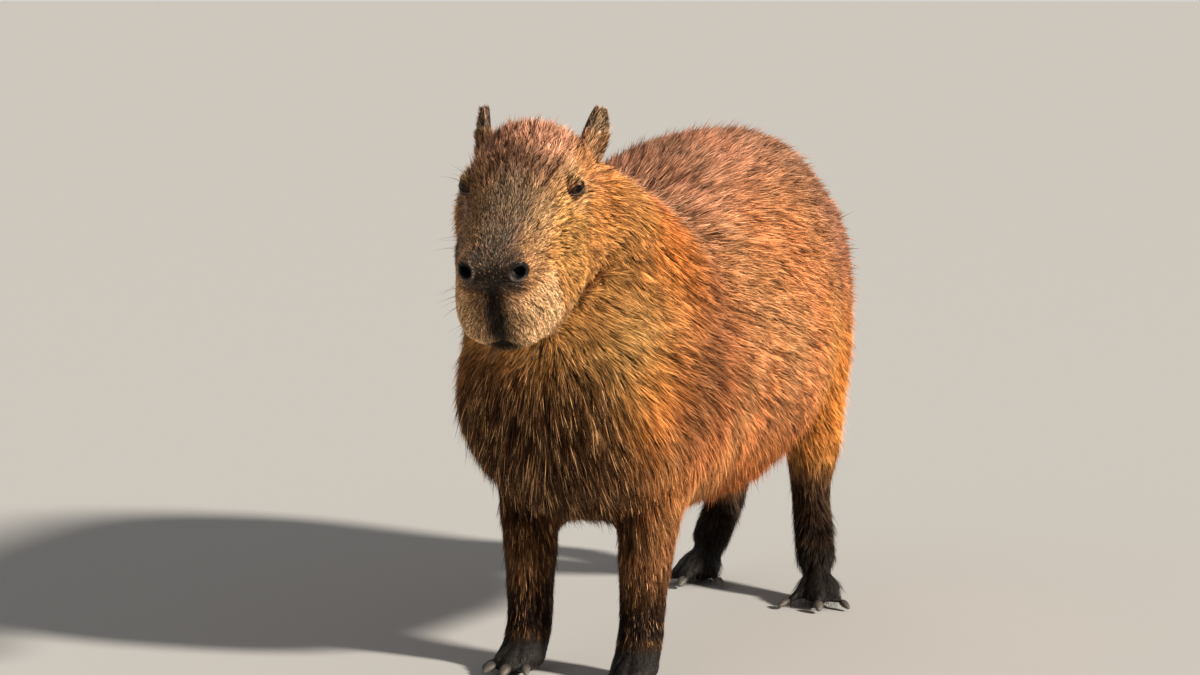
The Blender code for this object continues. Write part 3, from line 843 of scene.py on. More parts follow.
# ---- eyes ---------------------------------------------------------------------------------------
@dataclass
class Eye:
    """One eyeball with its lids' shape: the lids are laid over the ball by the skin."""

    side: Side
    head: HeadFrame
    radius: float = 11.6 * MM
    half_slit: float = 9.7 * MM
    half_open: float = 4.2 * MM
    lid: float = 1.6 * MM
    fold_start: tuple[float, float] = (9.8 * MM, 0.8 * MM)
    fold_end: tuple[float, float] = (14.2 * MM, -5.8 * MM)
    faces: Triple = (0.72, 0.18, 0.67)
    tilt: float = math.radians(4)

    def __post_init__(self) -> None:
        """Works out the eye's place and its axes: back along the slit, up, and out."""
        self.centre = node_middle(f"eye_{self.side.word}")
        left, up, ahead = self.faces
        out = self.head.way(left * self.side.value, up, ahead)
        back = self.head.way(0.0, 0.0, -1.0)
        back = unit(back - out * (back @ out))
        rise = np.cross(out, back) * -self.side.value
        rise = rise if rise @ self.head.way(0, 1, 0) > 0 else -rise
        slit = math.cos(self.tilt) * back + math.sin(self.tilt) * rise
        self.axes = np.array((slit, unit(np.cross(slit, np.cross(rise, slit))), out))
        self.arc = (self.half_slit**2 + self.half_open**2) / (2 * self.half_open)
        self.arc_drop = self.arc - self.half_open

    def local(self, points: Array) -> Array:
        """Places in the world as rows along the slit, up and out."""
        return (points - self.centre) @ self.axes.T

    def margin(self, flat: Array) -> Array:
        """How far rows along the slit and up are outside the almond opening, below zero inside."""
        rises = (flat[:, 1] + self.arc_drop, flat[:, 1] - self.arc_drop)
        return np.maximum(*(np.hypot(flat[:, 0], rise) for rise in rises)) - self.arc

    def fold(self, flat: Array) -> Array:
        """How near rows are to the crease behind the eye's back corner, from 0 to 1.

        Args:
            flat: Rows along the slit and up.

        Returns:
            One value for each row.
        """
        start, end = np.array(self.fold_start), np.array(self.fold_end)
        offset, line = flat[:, :2] - start, end - start
        share = np.clip(offset @ line / (line @ line), 0.0, 1.0)
        away = np.linalg.norm(offset - share[:, None] * line, axis=1)
        return hump(away, 0.0, 1.3 * MM) * (1 - 0.5 * share)

    def lay_lids(self, points: Array) -> Array:
        """Wraps the skin round the ball and sinks it behind the opening.

        Args:
            points: The skin's vertices.

        Returns:
            The moved vertices.
        """
        offset = self.local(points)
        reach = np.linalg.norm(offset, axis=1)
        near = (reach < 30 * MM) & (offset[:, 2] > -2 * MM)
        flat, reach, chosen = offset[near], reach[near], points[near]
        hold = ease(13 * MM, 4.5 * MM, self.margin(flat)) * ease(-2 * MM, 3 * MM, flat[:, 2])
        flat = flat * ((self.radius + self.lid) / np.maximum(reach, 1e-6))[:, None]
        margin = self.margin(flat)
        crease = 0.7 * MM * hump(margin, 4.2 * MM, 0.9 * MM) * ease(-1 * MM, 3 * MM, flat[:, 1])
        bag = 0.5 * MM * hump(margin, 3.4 * MM, 1.2 * MM) * ease(1 * MM, -3 * MM, flat[:, 1])
        shell = self.radius + self.lid * ease(-1.4 * MM, 0.9 * MM, margin) - crease + bag
        shell += 0.5 * MM * hump(margin, 3.0 * MM, 1.4 * MM) * ease(-2 * MM, 2 * MM, flat[:, 1])
        shell -= 3.2 * MM * ease(-0.2 * MM, -1.6 * MM, margin) + 0.9 * MM * self.fold(flat)
        grown = (1 - hold) + hold * shell / np.maximum(reach, 1e-6)
        moved = points.copy()
        moved[near] = self.centre + (chosen - self.centre) * grown[:, None]
        return moved

    def rim_points(self, margin: float, radius: float, count: int) -> Array:
        """A ring round the opening.

        Args:
            margin: How far outside the opening it runs.
            radius: How far from the ball's centre it lies.
            count: How many points it has.

        Returns:
            Rows of places.
        """
        angles = np.arange(count) * math.tau / count
        across, rise = np.cos(angles), np.sin(angles)
        reach = -np.abs(self.arc_drop * rise) + np.sqrt(
            (self.arc + margin) ** 2 - (self.arc_drop * across) ** 2
        )
        flat = np.column_stack((reach * across, reach * rise))
        out = np.sqrt(np.maximum(radius**2 - (flat**2).sum(axis=1), 1e-9))
        return np.column_stack((flat, out)) @ self.axes + self.centre

    def build(self, material: Material) -> Piece:
        """Builds the ball, with its cornea standing out and a radial mark for the iris.

        Args:
            material: The eye's finish.

        Returns:
            The eye.
        """
        rings, spokes, cornea = 40, 64, 0.6 * MM
        angles = np.linspace(0.0, math.pi, rings + 1)[1:-1]
        around = np.arange(spokes) * math.tau / spokes
        polar, turn = np.meshgrid(angles, around, indexing="ij")
        radial = (polar / (math.pi / 2)).ravel()
        reach = self.radius + cornea * ease(0.75, 0.35, radial)
        ways = (np.sin(polar) * np.cos(turn), np.sin(polar) * np.sin(turn), np.cos(polar))
        ball = np.column_stack([way.ravel() for way in ways]) * reach[:, None]
        poles = np.array(((0, 0, self.radius + cornea), (0, 0, -self.radius)))
        quads = ring_quads(rings - 1, spokes)[:, (0, 3, 2, 1)]
        ends = (quads[:spokes, (0, 3)], quads[-spokes:, (2, 1)])
        caps = [np.insert(pairs, 0, len(ball) + pole, axis=1) for pole, pairs in enumerate(ends)]
        name = f"eyeball_{self.side.word}"
        mesh = joined_mesh(name, np.vstack((ball, poles)) @ self.axes + self.centre, quads, np.vstack(caps))
        paint(mesh, "radial", np.concatenate((radial, (0.0, 2.0))))
        mesh.materials.append(material)
        return new_object(name, mesh)


# ---- feet ---------------------------------------------------------------------------------------
@dataclass(frozen=True)
class Foot:
    """Where a foot stands, how far it turns out and how its toes fan, in degrees."""

    side: Side
    middle: tuple[float, float]
    turn: float
    fans: tuple[float, ...]
    back: float
    top: float

    def grooves(self, points: Array, normals: Array) -> Array:
        """How far each point is in a groove between two toes.

        Args:
            points: The skin's vertices.
            normals: Their normals.

        Returns:
            Values from 0 to about 1.
        """
        sign = self.side.value
        total = np.zeros(len(points))
        near = (points[:, 2] < self.top) & (np.hypot(*(points[:, :2] - self.middle).T) < 0.11)
        for one, two in zip(self.fans, self.fans[1:]):
            turn = math.radians(self.turn) * sign
            fan = turn + math.radians((one + two) / 2) * sign
            gap = np.array(self.middle) + 0.060 * np.array((math.sin(fan), -math.cos(fan)))
            start = np.array(self.middle) - self.back * np.array((math.sin(turn), -math.cos(turn)))
            way = unit(gap - start)
            offset = points[near, :2] - start
            along, aside = offset @ way, offset @ np.array((-way[1], way[0]))
            reach = ease(0.012, 0.034, along)
            total[near] += hump(aside, 0.0, 2.6 * MM) * reach * ease(-0.3, 0.2, normals[near, 2])
        return total * ease(self.top, 0.7 * self.top, points[:, 2])


FORE_FANS = (-34, -9, 15, 42)
HIND_FANS = (-47, -7, 23)
FEET = (
    Foot(Side.LEFT, (0.0625, -0.1967), 8, FORE_FANS, 0.0, 0.045),
    Foot(Side.RIGHT, (-0.0795, -0.1847), 8, FORE_FANS, 0.0, 0.045),
    Foot(Side.LEFT, (0.1035, 0.3263), 26, HIND_FANS, 0.030, 0.080),
    Foot(Side.RIGHT, (-0.0865, 0.4173), 8, HIND_FANS, 0.030, 0.080),
)


# ---- the skin -----------------------------------------------------------------------------------
@dataclass
class Skin:
    """One skin round all the flesh, as deep inside the frame's solids as the coat is high."""

    head: HeadFrame
    eyes: list[Eye]
    voxel: float = 7.0 * MM
    overlap: float = 0.7 * MM
    coat_rise: float = 0.80
    deepest_coat: float = 18 * MM
    cheek_hair: float = 22 * MM
    lip_pad: float = 2.2 * MM
    lip_groove: float = 3.4 * MM
    mouth_depth: float = 5.0 * MM
    nostril_depth: float = 11.0 * MM
    nostril_rim: float = 1.3 * MM
    toe_groove: float = 3.0 * MM
    sole: float = 0.3 * MM

    def joined_flesh(self) -> Piece:
        """Joins the flesh nodes, a little swollen so that their cuts close, and remeshes them.

        Returns:
            An object with one closed surface.
        """
        whole = bmesh.new()
        for name in (*FLESH_ZONES, "eye_left", "eye_right"):
            whole.from_mesh(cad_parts[name].data)
        bmesh.ops.remove_doubles(whole, verts=whole.verts, dist=0.05 * MM)
        bmesh.ops.recalc_face_normals(whole, faces=whole.faces)
        for vertex in whole.verts:
            vertex.co += vertex.normal * self.overlap
        mesh = bpy.data.meshes.new("skin")
        whole.to_mesh(mesh)
        whole.free()
        made = new_object("skin", mesh)
        remesh = made.modifiers.new("Remesh", "REMESH")
        remesh.mode = "VOXEL"
        remesh.voxel_size = self.voxel
        settled(made)
        return made

    def nearest_zone(self, points: Array) -> Array:
        """Finds the frame's node nearest to each point.

        Args:
            points: The skin's vertices.

        Returns:
            The nodes' zone numbers.
        """
        parts = [points_of(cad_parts[name].data) for name in FLESH_ZONES]
        owners = np.repeat([part.value for part in FLESH_ZONES.values()], [len(part) for part in parts])
        places = np.vstack(parts)
        tree = KDTree(len(places))
        for number, place in enumerate(places):
            tree.insert(place, number)
        tree.balance()
        return np.array([owners[tree.find(point)[1]] for point in points])

    def refine(self, made: Piece, chosen: Array) -> None:
        """Cuts the chosen faces into four.

        Args:
            made: The skin.
            chosen: For each vertex, whether its faces are cut.
        """
        work = bmesh.new()
        work.from_mesh(made.data)
        work.verts.ensure_lookup_table()
        edges = [e for e in work.edges if chosen[e.verts[0].index] and chosen[e.verts[1].index]]
        bmesh.ops.subdivide_edges(work, edges=edges, cuts=1, use_grid_fill=True)
        crowded = [f for f in work.faces if len(f.verts) > 4]
        bmesh.ops.triangulate(work, faces=crowded)
        work.to_mesh(made.data)
        work.free()

    def fill_valleys(self, points: Array, normals: Array, edges: Array, zone: Array) -> Array:
        """Lifts the hollows between cheek, neck and shoulder, where the coat runs straight across.

        Args:
            points: The skin's vertices.
            normals: Their normals.
            edges: The skin's edges.
            zone: The zone number from the nearest node.

        Returns:
            The moved vertices.
        """
        _, up, ahead = self.head.local(points).T
        front = among(zone, Zone.FLANK) & (points[:, 1] < 0.02)
        cheek = (ahead < -0.005) | ((ahead < 0.045) & (up < -0.030))
        cheek = cheek & among(zone, Zone.CHEEK, Zone.JAW)
        chosen = among(zone, Zone.NECK, Zone.UPPER_ARM) | front | cheek
        withers = (normals[:, 2] < 0.75) | (np.abs(points[:, 1] + 0.115) < 0.085)
        chosen = chosen & withers & (points[:, 2] > 0.24)
        weight = soften(chosen, edges, 10)
        for rounds in (420, 200, 70):
            rise = np.maximum(dot(spread(points, edges, rounds, 0.6) - points, normals), 0.0)
            points = points + normals * (soften(rise, edges, 6) * weight)[:, None]
        side, up, ahead = self.head.local(points).T
        folded = 1.6 * hump(ahead, -0.004, 0.040) * hump(up, -0.074, 0.060)
        folded = np.minimum(folded, 1.0) * ease(0.025, 0.048, side)
        ridge = hump(points[:, 1], -0.20, 0.065) * ease(0.045, 0.075, np.abs(points[:, 0]))
        folded = np.maximum(folded, ridge * ease(0.33, 0.41, points[:, 2]))[:, None]
        return points + folded * (spread(points, edges, 120, 0.6) - points)

    def head_detail(self, points: Array, reach: float = 26 * MM, ahead: float = 0.100) -> Array:
        """How near points are to the eyes, nose and mouth, from 0 to 1.

        Args:
            points: The skin's vertices.
            reach: How far from each eye it ends.
            ahead: Where on the head the muzzle's part begins.

        Returns:
            One value for each point.
        """
        place = self.head.local(points)
        front = ease(ahead - 0.015, ahead + 0.010, place[:, 2]) * ease(-0.145, -0.125, place[:, 1])
        sockets = [
            ease(reach, reach - 6 * MM, np.linalg.norm(points - eye.centre, axis=1)) for eye in self.eyes
        ]
        return np.maximum(front, np.maximum(*sockets))

    def zones(self, points: Array, normals: Array, zone: Array) -> Array:
        """Divides the nodes' zones by place.

        Args:
            points: The skin's vertices.
            normals: Their normals.
            zone: The zone number from the nearest node.

        Returns:
            The zone numbers.
        """
        place = self.head.local(points)
        side, up, ahead = np.abs(place[:, 0]), place[:, 1], place[:, 2]
        zone = zone.copy()
        _, y, z = points.T

        def put(part: Zone, new: Zone, where: Array) -> None:
            """Turns one zone into another where the test holds."""
            zone[(zone == part.value) & where] = new.value

        put(Zone.CHEEK, Zone.CROWN, (ahead < -0.022) & (up > 0.012))
        put(Zone.CHEEK, Zone.BROW, (ahead < 0.045) & (up > 0.014) & (side < 0.058))
        put(Zone.CHEEK, Zone.NOSE, (ahead > 0.138) & (up > -0.026) & (side < 0.030))
        put(Zone.CHEEK, Zone.LIPS, (ahead > 0.105) & (up <= -0.030))
        put(Zone.CHEEK, Zone.BRIDGE, (up > -0.030) & (side < 0.045) & (ahead > 0.03))
        put(Zone.JAW, Zone.LIPS, (ahead > 0.120) & (up > -0.118))
        for eye in self.eyes:
            put(Zone.CHEEK, Zone.LID, np.linalg.norm(points - eye.centre, axis=1) < 19 * MM)
            put(Zone.BROW, Zone.LID, np.linalg.norm(points - eye.centre, axis=1) < 17 * MM)
        facing = (np.abs(normals[:, 0]) < 0.55) & (normals[:, 1] < -0.20) & (normals[:, 2] < 0.35)
        put(Zone.NECK, Zone.NAPE, normals[:, 2] > 0.60)
        put(Zone.NECK, Zone.THROAT, facing | (normals[:, 2] < -0.35))
        put(Zone.FLANK, Zone.CHEST, (y < -0.20) & facing)
        put(Zone.FLANK, Zone.RUMP, y > 0.27)
        put(Zone.FLANK, Zone.BACK, (normals[:, 2] > 0.55) & (z > 0.45))
        put(Zone.FLANK, Zone.BELLY, (z < 0.260) | (normals[:, 2] < -0.50))
        put(Zone.FLANK, Zone.SHOULDER, y < -0.10)
        put(Zone.SHANK, Zone.THIGH, z > 0.165)
        put(Zone.HIND_FOOT, Zone.SHANK, z > 0.085)
        return zone

    def fields(self, points: Array, normals: Array, edges: Array) -> Fields:
        """Works out the coat at each vertex.

        Args:
            points: The skin's vertices.
            normals: Their normals.
            edges: The skin's edges.

        Returns:
            The coat's fields.
        """
        zone = self.zones(points, normals, self.nearest_zone(points))
        table = np.array([PELTS[part].row() for part in Zone])
        body = ~among(zone, *FACE_ZONES, Zone.SHANK, Zone.HIND_FOOT, Zone.FOREARM, Zone.FORE_FOOT)
        rows = spread(table[zone], edges, 110, 0.6 * body[:, None])
        rows = spread(rows, edges, 34, 0.6)
        length = rows[:, 0] * MM
        place = self.head.local(points)
        side, up, ahead = place.T
        x, y, z = points.T
        behind = ease(0.050, -0.010, ahead) * ease(0.025, 0.050, np.abs(side))
        length = length + 0.75 * behind * np.maximum(self.cheek_hair - length, 0.0)
        for eye in self.eyes:
            offset = eye.local(points)
            near = np.linalg.norm(offset, axis=1) < 22 * MM
            length = length * (1 - 0.55 * near * ease(7 * MM, 1 * MM, eye.margin(offset)))
        spray = (place - (0.0, -0.010, 0.175)) * (1.15, 1.0, 1.0)
        fall = ease(0.02, -0.05, up) * ease(0.0, 0.055, np.abs(side))
        facial = unit(spray) @ self.head.axes + np.outer(0.55 * fall, (0.0, 0.0, -1.0))
        skull = soften(among(zone, *FACE_ZONES), edges, 30, 0.6)[:, None]
        lie = rows[:, 7:10].copy()
        lie[:, 0] += rows[:, 11] * np.clip(x / 0.05, -1.0, 1.0)
        lie = lie * (1 - skull) + facial * skull
        lie -= normals * dot(lie, normals)[:, None]
        lie = spread(unit(lie), edges, 6, 0.5)
        lie = unit(lie - normals * dot(lie, normals)[:, None])
        tone = self.markings(points, edges, rows[:, 4:7], zone)
        # Painted shade: the front of the chest below the head and the underside between the forelegs turn
        # towards a deep brown, partly the chest's own darker colour, and darker still lower down.
        shaded_breast = ease(0.45, 0.92, normals @ unit(np.array((-0.15, -0.99, 0.0)))) * body
        shaded_breast *= ease(-0.17, -0.24, y) * ease(0.47, 0.40, z)
        under = ease(-0.12, -0.22, y) * ease(0.35, 0.29, z) * ease(0.10, 0.06, x)
        shaded_breast = 0.90 * soften(np.maximum(shaded_breast, body * under), edges, 25)
        tone = tone + np.outer(shaded_breast, (0.072, 0.023, 0.0060)) - tone * shaded_breast[:, None]
        tone = tone * (1 - 0.58 * shaded_breast * ease(0.40, 0.32, z))[:, None]
        shin = soften(among(zone, Zone.FOREARM), edges, 12)
        nose = hump(up, 0.010, 0.022) * ease(0.09, 0.13, ahead) * skull[:, 0]
        pale = np.maximum.reduce((0.13 * shaded_breast, 0.05 * shin, 0.08 * nose))
        width, lift = rows[:, 1] * MM, np.radians(rows[:, 2])
        return Fields(length, width, lift, rows[:, 3], tone, lie, rows[:, 10], pale, zone)

    def markings(self, points: Array, edges: Array, tone: Array, zone: Array) -> Array:
        """The coat's colour at each vertex, for skin and hair alike, with painted shade and light laid in on
        the face and the forelegs.

        Args:
            points: The skin's vertices.
            edges: The skin's edges.
            tone: The zones' own colours, already blended.
            zone: The zone numbers.

        Returns:
            Colours.
        """
        place = self.head.local(points)
        patches = 1 + 0.07 * Wobble(0.11, 3).at(points) + 0.08 * Wobble(0.035, 5).at(points)
        redder = 0.05 * Wobble(0.16, 7).at(points)
        tone = tone * patches[:, None] * (1 + np.outer(redder, (1.0, -0.6, -1.2)))
        for marking in MARKINGS:
            tone = marking.over(place, tone)
        x, _, z = points.T
        limb = soften(among(zone, Zone.UPPER_ARM, Zone.FOREARM), edges, 12)
        # The forelegs darken towards the feet, partly as painted shade; the left foreleg is painted lighter
        # than the right, as if lit from that side.
        low = 0.50 * ease(0.27, 0.13, z) + 0.45 * ease(0.16, 0.07, z)
        low -= 0.45 * ease(0.0, 0.04, x) * ease(0.09, 0.17, z)
        hind = soften(among(zone, Zone.SHANK), edges, 12)
        tone = tone * ((1 - limb * low) * (1 - 0.93 * hind * ease(0.185, 0.085, z)))[:, None]
        gold = np.array((0.50, 0.27, 0.12))
        for eye in self.eyes:
            ring = hump(np.linalg.norm(points - eye.centre, axis=1), 17 * MM, 8 * MM)[:, None]
            tone = tone * (1 - 0.6 * ring) + gold * 0.6 * ring
        return np.clip(tone, 0.004, 0.8)

    def shape_face(self, points: Array, normals: Array) -> Array:
        """Cuts the nostrils, the groove of the lip and the mouth, and fills the lips' pads.

        Args:
            points: The skin's vertices.
            normals: Their normals.

        Returns:
            The moved vertices.
        """
        place = self.head.local(points)
        side, up, ahead = np.abs(place[:, 0]), place[:, 1], place[:, 2]
        front = ease(0.095, 0.125, ahead)
        pads = self.lip_pad * hump(side, 0.020, 0.012) * hump(up, -0.068, 0.022) * front
        wide = 0.0042 + 0.0065 * ease(-0.074, -0.094, up)
        groove = -self.lip_groove * hump(side / wide, 0.0, 1.0) * ease(-0.018, -0.034, up)
        groove *= ease(-0.108, -0.098, up) * front
        slit = hump(self.head.mouth_line(place), 0.0, 0.0026)
        mouth = -self.mouth_depth * slit * ease(0.020, 0.008, side) * front
        lower_lip = -1.0 * MM * ease(-0.096, -0.106, up) * ease(0.030, 0.010, side) * front
        wing = 1.6 * MM * hump(side, 0.031, 0.012) * hump(up, -0.004, 0.013) * ease(0.10, 0.14, ahead)
        moved = points + normals * (pads + groove + mouth + lower_lip + wing)[:, None]
        return self.cut_nostrils(moved)

    def cut_nostrils(self, points: Array) -> Array:
        """Sinks the two nostrils and raises their rims.

        Args:
            points: The skin's vertices.

        Returns:
            The moved vertices.
        """
        place = self.head.local(points)
        for side in Side:
            offset = self.head.from_nostril(place, side, 0.158)
            across = offset[:, 0] * side.value
            slant = math.radians(15)
            long = across * math.cos(slant) + offset[:, 1] * math.sin(slant)
            short = -across * math.sin(slant) + offset[:, 1] * math.cos(slant)
            share = np.hypot(long / (6.3 * MM), short / (6.0 * MM))
            tail = np.hypot((long - 8 * MM) / (5.0 * MM), (short - 2.4 * MM) / (2.4 * MM))
            depth = np.maximum(self.nostril_depth * ease(1.10, 0.60, share), 3.5 * MM * ease(1.2, 0.4, tail))
            rim = self.nostril_rim * hump(share, 1.32, 0.26) * (1 + 0.7 * ease(0.0, -0.006, offset[:, 1]))
            near = ease(0.035, 0.022, np.linalg.norm(offset, axis=1))
            place = place + ((rim - depth) * near)[:, None] * unit(np.array((side.value * 0.30, 0.12, 1.0)))
        return place @ self.head.axes + self.head.centre

    def build(self) -> tuple[Piece, Fields]:
        """Builds the skin and the coat's fields on it.

        Returns:
            The skin and the fields.
        """
        made = self.joined_flesh()
        mesh = made.data
        points, edges = points_of(mesh), edges_of(mesh)
        zone = self.nearest_zone(points)
        thin = among(zone, Zone.HIND_FOOT, Zone.FORE_FOOT, Zone.SHANK, Zone.FOREARM)
        skull = among(zone, Zone.CHEEK, Zone.JAW)
        share = np.where(thin, 0.10, np.where(skull, 0.30, 0.60))[:, None]
        share = spread(share, edges, 4)
        points = spread(points, edges, 14, share)
        place_points(mesh, points)
        place_points(mesh, self.fill_valleys(points, normals_of(mesh), edges, zone))
        feet = thin & (points[:, 2] < 0.11)
        self.refine(made, skull | feet)
        self.refine(made, self.head_detail(points_of(made.data)) > 0.05)
        self.refine(made, self.head_detail(points_of(made.data), 21 * MM, 0.158) > 0.05)
        points, edges = points_of(mesh), edges_of(mesh)
        fine = np.maximum(self.head_detail(points), 0.25)[:, None]
        points = spread(points, edges, 5, 0.5 * fine)
        place_points(mesh, points)
        normals = normals_of(mesh)
        found = self.fields(points, normals, edges)
        depth = found.length * np.sin(found.lift) * self.coat_rise
        depth = np.minimum(soften(depth, edges, 8), self.deepest_coat)
        points = points - normals * depth[:, None]
        points = spread(points, edges, 2, 0.4 * (1 - fine))
        points = self.shape_face(points, normals)
        grooves = sum(foot.grooves(points, normals) for foot in FEET)
        points = points - normals * (self.toe_groove * grooves)[:, None]
        for eye in self.eyes:
            points = eye.lay_lids(points)
        points[:, 2] = np.maximum(points[:, 2], self.sole)
        place_points(mesh, points)
        mesh.shade_smooth()
        self.dress(mesh, points, found)
        LOG.info("skin: %d vertices, %d faces", len(mesh.vertices), len(mesh.polygons))
        return made, found

    def bareness(self, points: Array) -> Array:
        """How bare the skin is at each vertex.

        Args:
            points: The skin's vertices.

        Returns:
            Values from 0 to 1.
        """
        place = self.head.local(points)
        side, up, ahead = place.T
        nose = 0.85 * ease(0.146, 0.156, ahead) * ease(-0.026, -0.019, up)
        nose *= ease(0.004, -0.003, up) * ease(0.040, 0.033, np.abs(side))
        groove = hump(side, 0.0, 0.005) * ease(0.12, 0.14, ahead) * ease(-0.105, -0.095, up)
        feet = ease(0.125, 0.060, points[:, 2]) * ease(-0.05, 0.05, points[:, 1])
        bare = np.maximum.reduce((nose, groove, feet, ease(0.045, 0.020, points[:, 2])))
        for half in Side:
            offset = np.linalg.norm(self.head.from_nostril(place, half, 0.152), axis=1)
            bare = np.maximum(bare, ease(0.0125, 0.0105, offset))
        for eye in self.eyes:
            offset = eye.local(points)
            near = np.linalg.norm(offset, axis=1) < 20 * MM
            lids = ease(2.6 * MM, 1.4 * MM, eye.margin(offset))
            bare = np.maximum(bare, near * np.maximum(lids, eye.fold(offset)))
        return bare

    def dress(self, mesh: Mesh, points: Array, found: Fields) -> None:
        """Stores the markings on the skin.

        Args:
            mesh: The skin's mesh.
            points: Its vertices.
            found: The coat's fields.
        """
        place = self.head.local(points)
        stain = np.ones((len(points), 3))
        for half in Side:
            # Painted shade: the nostrils' holes are darkened; their lower rims are made paler.
            offset = self.head.from_nostril(place, half, 0.150)
            hole = ease(0.0120, 0.0078, np.linalg.norm(offset, axis=1))[:, None]
            low = ease(0.002, -0.005, offset[:, 1] + 0.5 * half.value * offset[:, 0])
            rim = hump(np.hypot(offset[:, 0], offset[:, 1]), 0.0090, 0.0020) * low
            rim = rim * ease(-0.006, -0.001, offset[:, 2])
            stain = stain * (1 - 0.93 * hole * (1 - rim[:, None])) * (1 + np.outer(rim, (9.0, 8.0, 8.0)))
        side, up, ahead = place.T
        front = ease(0.12, 0.14, ahead)
        # The lip's groove is darker, and the mouth's slit is darkened as painted shade.
        groove = hump(side, 0.0, 0.006) * ease(-0.012, -0.03, up) * front
        slit = hump(self.head.mouth_line(place), 0.0, 0.0035) * ease(0.022, 0.012, np.abs(side)) * front
        stain = stain * (1 - 0.6 * groove[:, None]) * (1 - 0.85 * slit[:, None])
        paint(mesh, "tone", found.tone)
        paint(mesh, "bare", self.bareness(points))
        paint(mesh, "stain", stain)


# ---- the coat -----------------------------------------------------------------------------------
PALE_HAIR: Colour = (0.46, 0.225, 0.090)
WIDEST = 0.40  # where a tuft is broadest, as a share of its length
LOCK_STRETCH = 11.0  # how many times longer than wide a lock's patch of roots is


@dataclass
class Roots:
    """Where tufts grow and how, one row each."""

    place: Array
    normal: Array
    lie: Array
    tone: Array
    length: Array
    width: Array
    lift: Array
    droop: Array
    pale: Array
    zone: Array

    def only(self, chosen: Array) -> "Roots":
        """The roots that a test keeps."""
        return Roots(*(getattr(self, name)[chosen] for name in self.__dataclass_fields__))


@dataclass
class Scatter:
    """Random spots on a mesh's triangles: each one's three corners and their shares."""

    corners: Array
    shares: Array

    def blend(self, values: Array) -> Array:
        """A vertex field at the spots."""
        shares = self.shares[:, :, None] if values.ndim == 2 else self.shares
        return (values[self.corners] * shares).sum(axis=1)


def areas(mesh: Mesh) -> Array:
    """The area of each of the mesh's triangles."""
    one, two, three = points_of(mesh)[triangles_of(mesh)].transpose(1, 0, 2)
    return np.linalg.norm(np.cross(two - one, three - one), axis=1) / 2


def scattered(mesh: Mesh, running: Array, spots: Array, draw: Chance) -> Scatter:
    """Turns shares of a running total over the triangles into spots on them.

    Args:
        mesh: The mesh.
        running: The running total after each triangle.
        spots: Values on the way from 0 to the whole total.
        draw: The source of chance.

    Returns:
        The spots.
    """
    corners = triangles_of(mesh)
    face = np.minimum(np.searchsorted(running, spots), len(corners) - 1)
    share = draw.random((len(spots), 2))
    folded = share.sum(axis=1) > 1
    share[folded] = 1 - share[folded]
    return Scatter(corners[face], np.column_stack((1 - share.sum(axis=1), share)))


@dataclass(frozen=True)
class Axis:
    """The line round which a piece of coat is unrolled for its map."""

    origin: Triple
    way: Triple

    def unrolled(self, points: Array) -> Array:
        """Angle round the line and distance along it, fitted to a unit square.

        Args:
            points: The roots.

        Returns:
            Rows of two numbers between 0 and 1.
        """
        way = unit(np.array(self.way))
        offset = points - np.array(self.origin)
        along = offset @ way
        radial = offset - np.outer(along, way)
        middle = unit(radial.mean(axis=0))
        other = np.cross(way, middle)
        angle = np.arctan2(radial @ other, radial @ middle)
        flat = np.column_stack((angle, along))
        low, high = flat.min(axis=0), flat.max(axis=0)
        return 0.003 + 0.994 * (flat - low) / np.maximum(high - low, 1e-6)


@dataclass(frozen=True)
class CoatPart:
    """One piece of coat: the zones it covers, on one side or on both."""

    name: str
    zones: tuple[Zone, ...]
    axis: Axis
    side: Side | None = None
    lock: float = 2.8 * MM
    mess: float = 1.0
    strays: float = 0.035
    contrast: float = 1.2


@dataclass
class Locks:
    """Which lock each root is in: where it is across and along it, and what the whole lock shares."""

    across: Array
    along: Array
    chance: Array


def numbered(cells: Array) -> Array:
    """A number for each row's cell, counted from nought.

    Args:
        cells: Rows of whole numbers.

    Returns:
        One number for each row, the same for equal rows.
    """
    primes = np.array((73856093, 19349663, 83492791))[: cells.shape[1]]
    key = np.bitwise_xor.reduce(cells.astype(np.int64) * primes, axis=1)
    return np.unique(key, return_inverse=True)[1]


def group_mean(values: Array, member: Array) -> Array:
    """The mean of the values in each row's group, for each row."""
    means = [np.bincount(member, column) / np.maximum(np.bincount(member), 1) for column in values.T]
    return np.column_stack(means)[member]


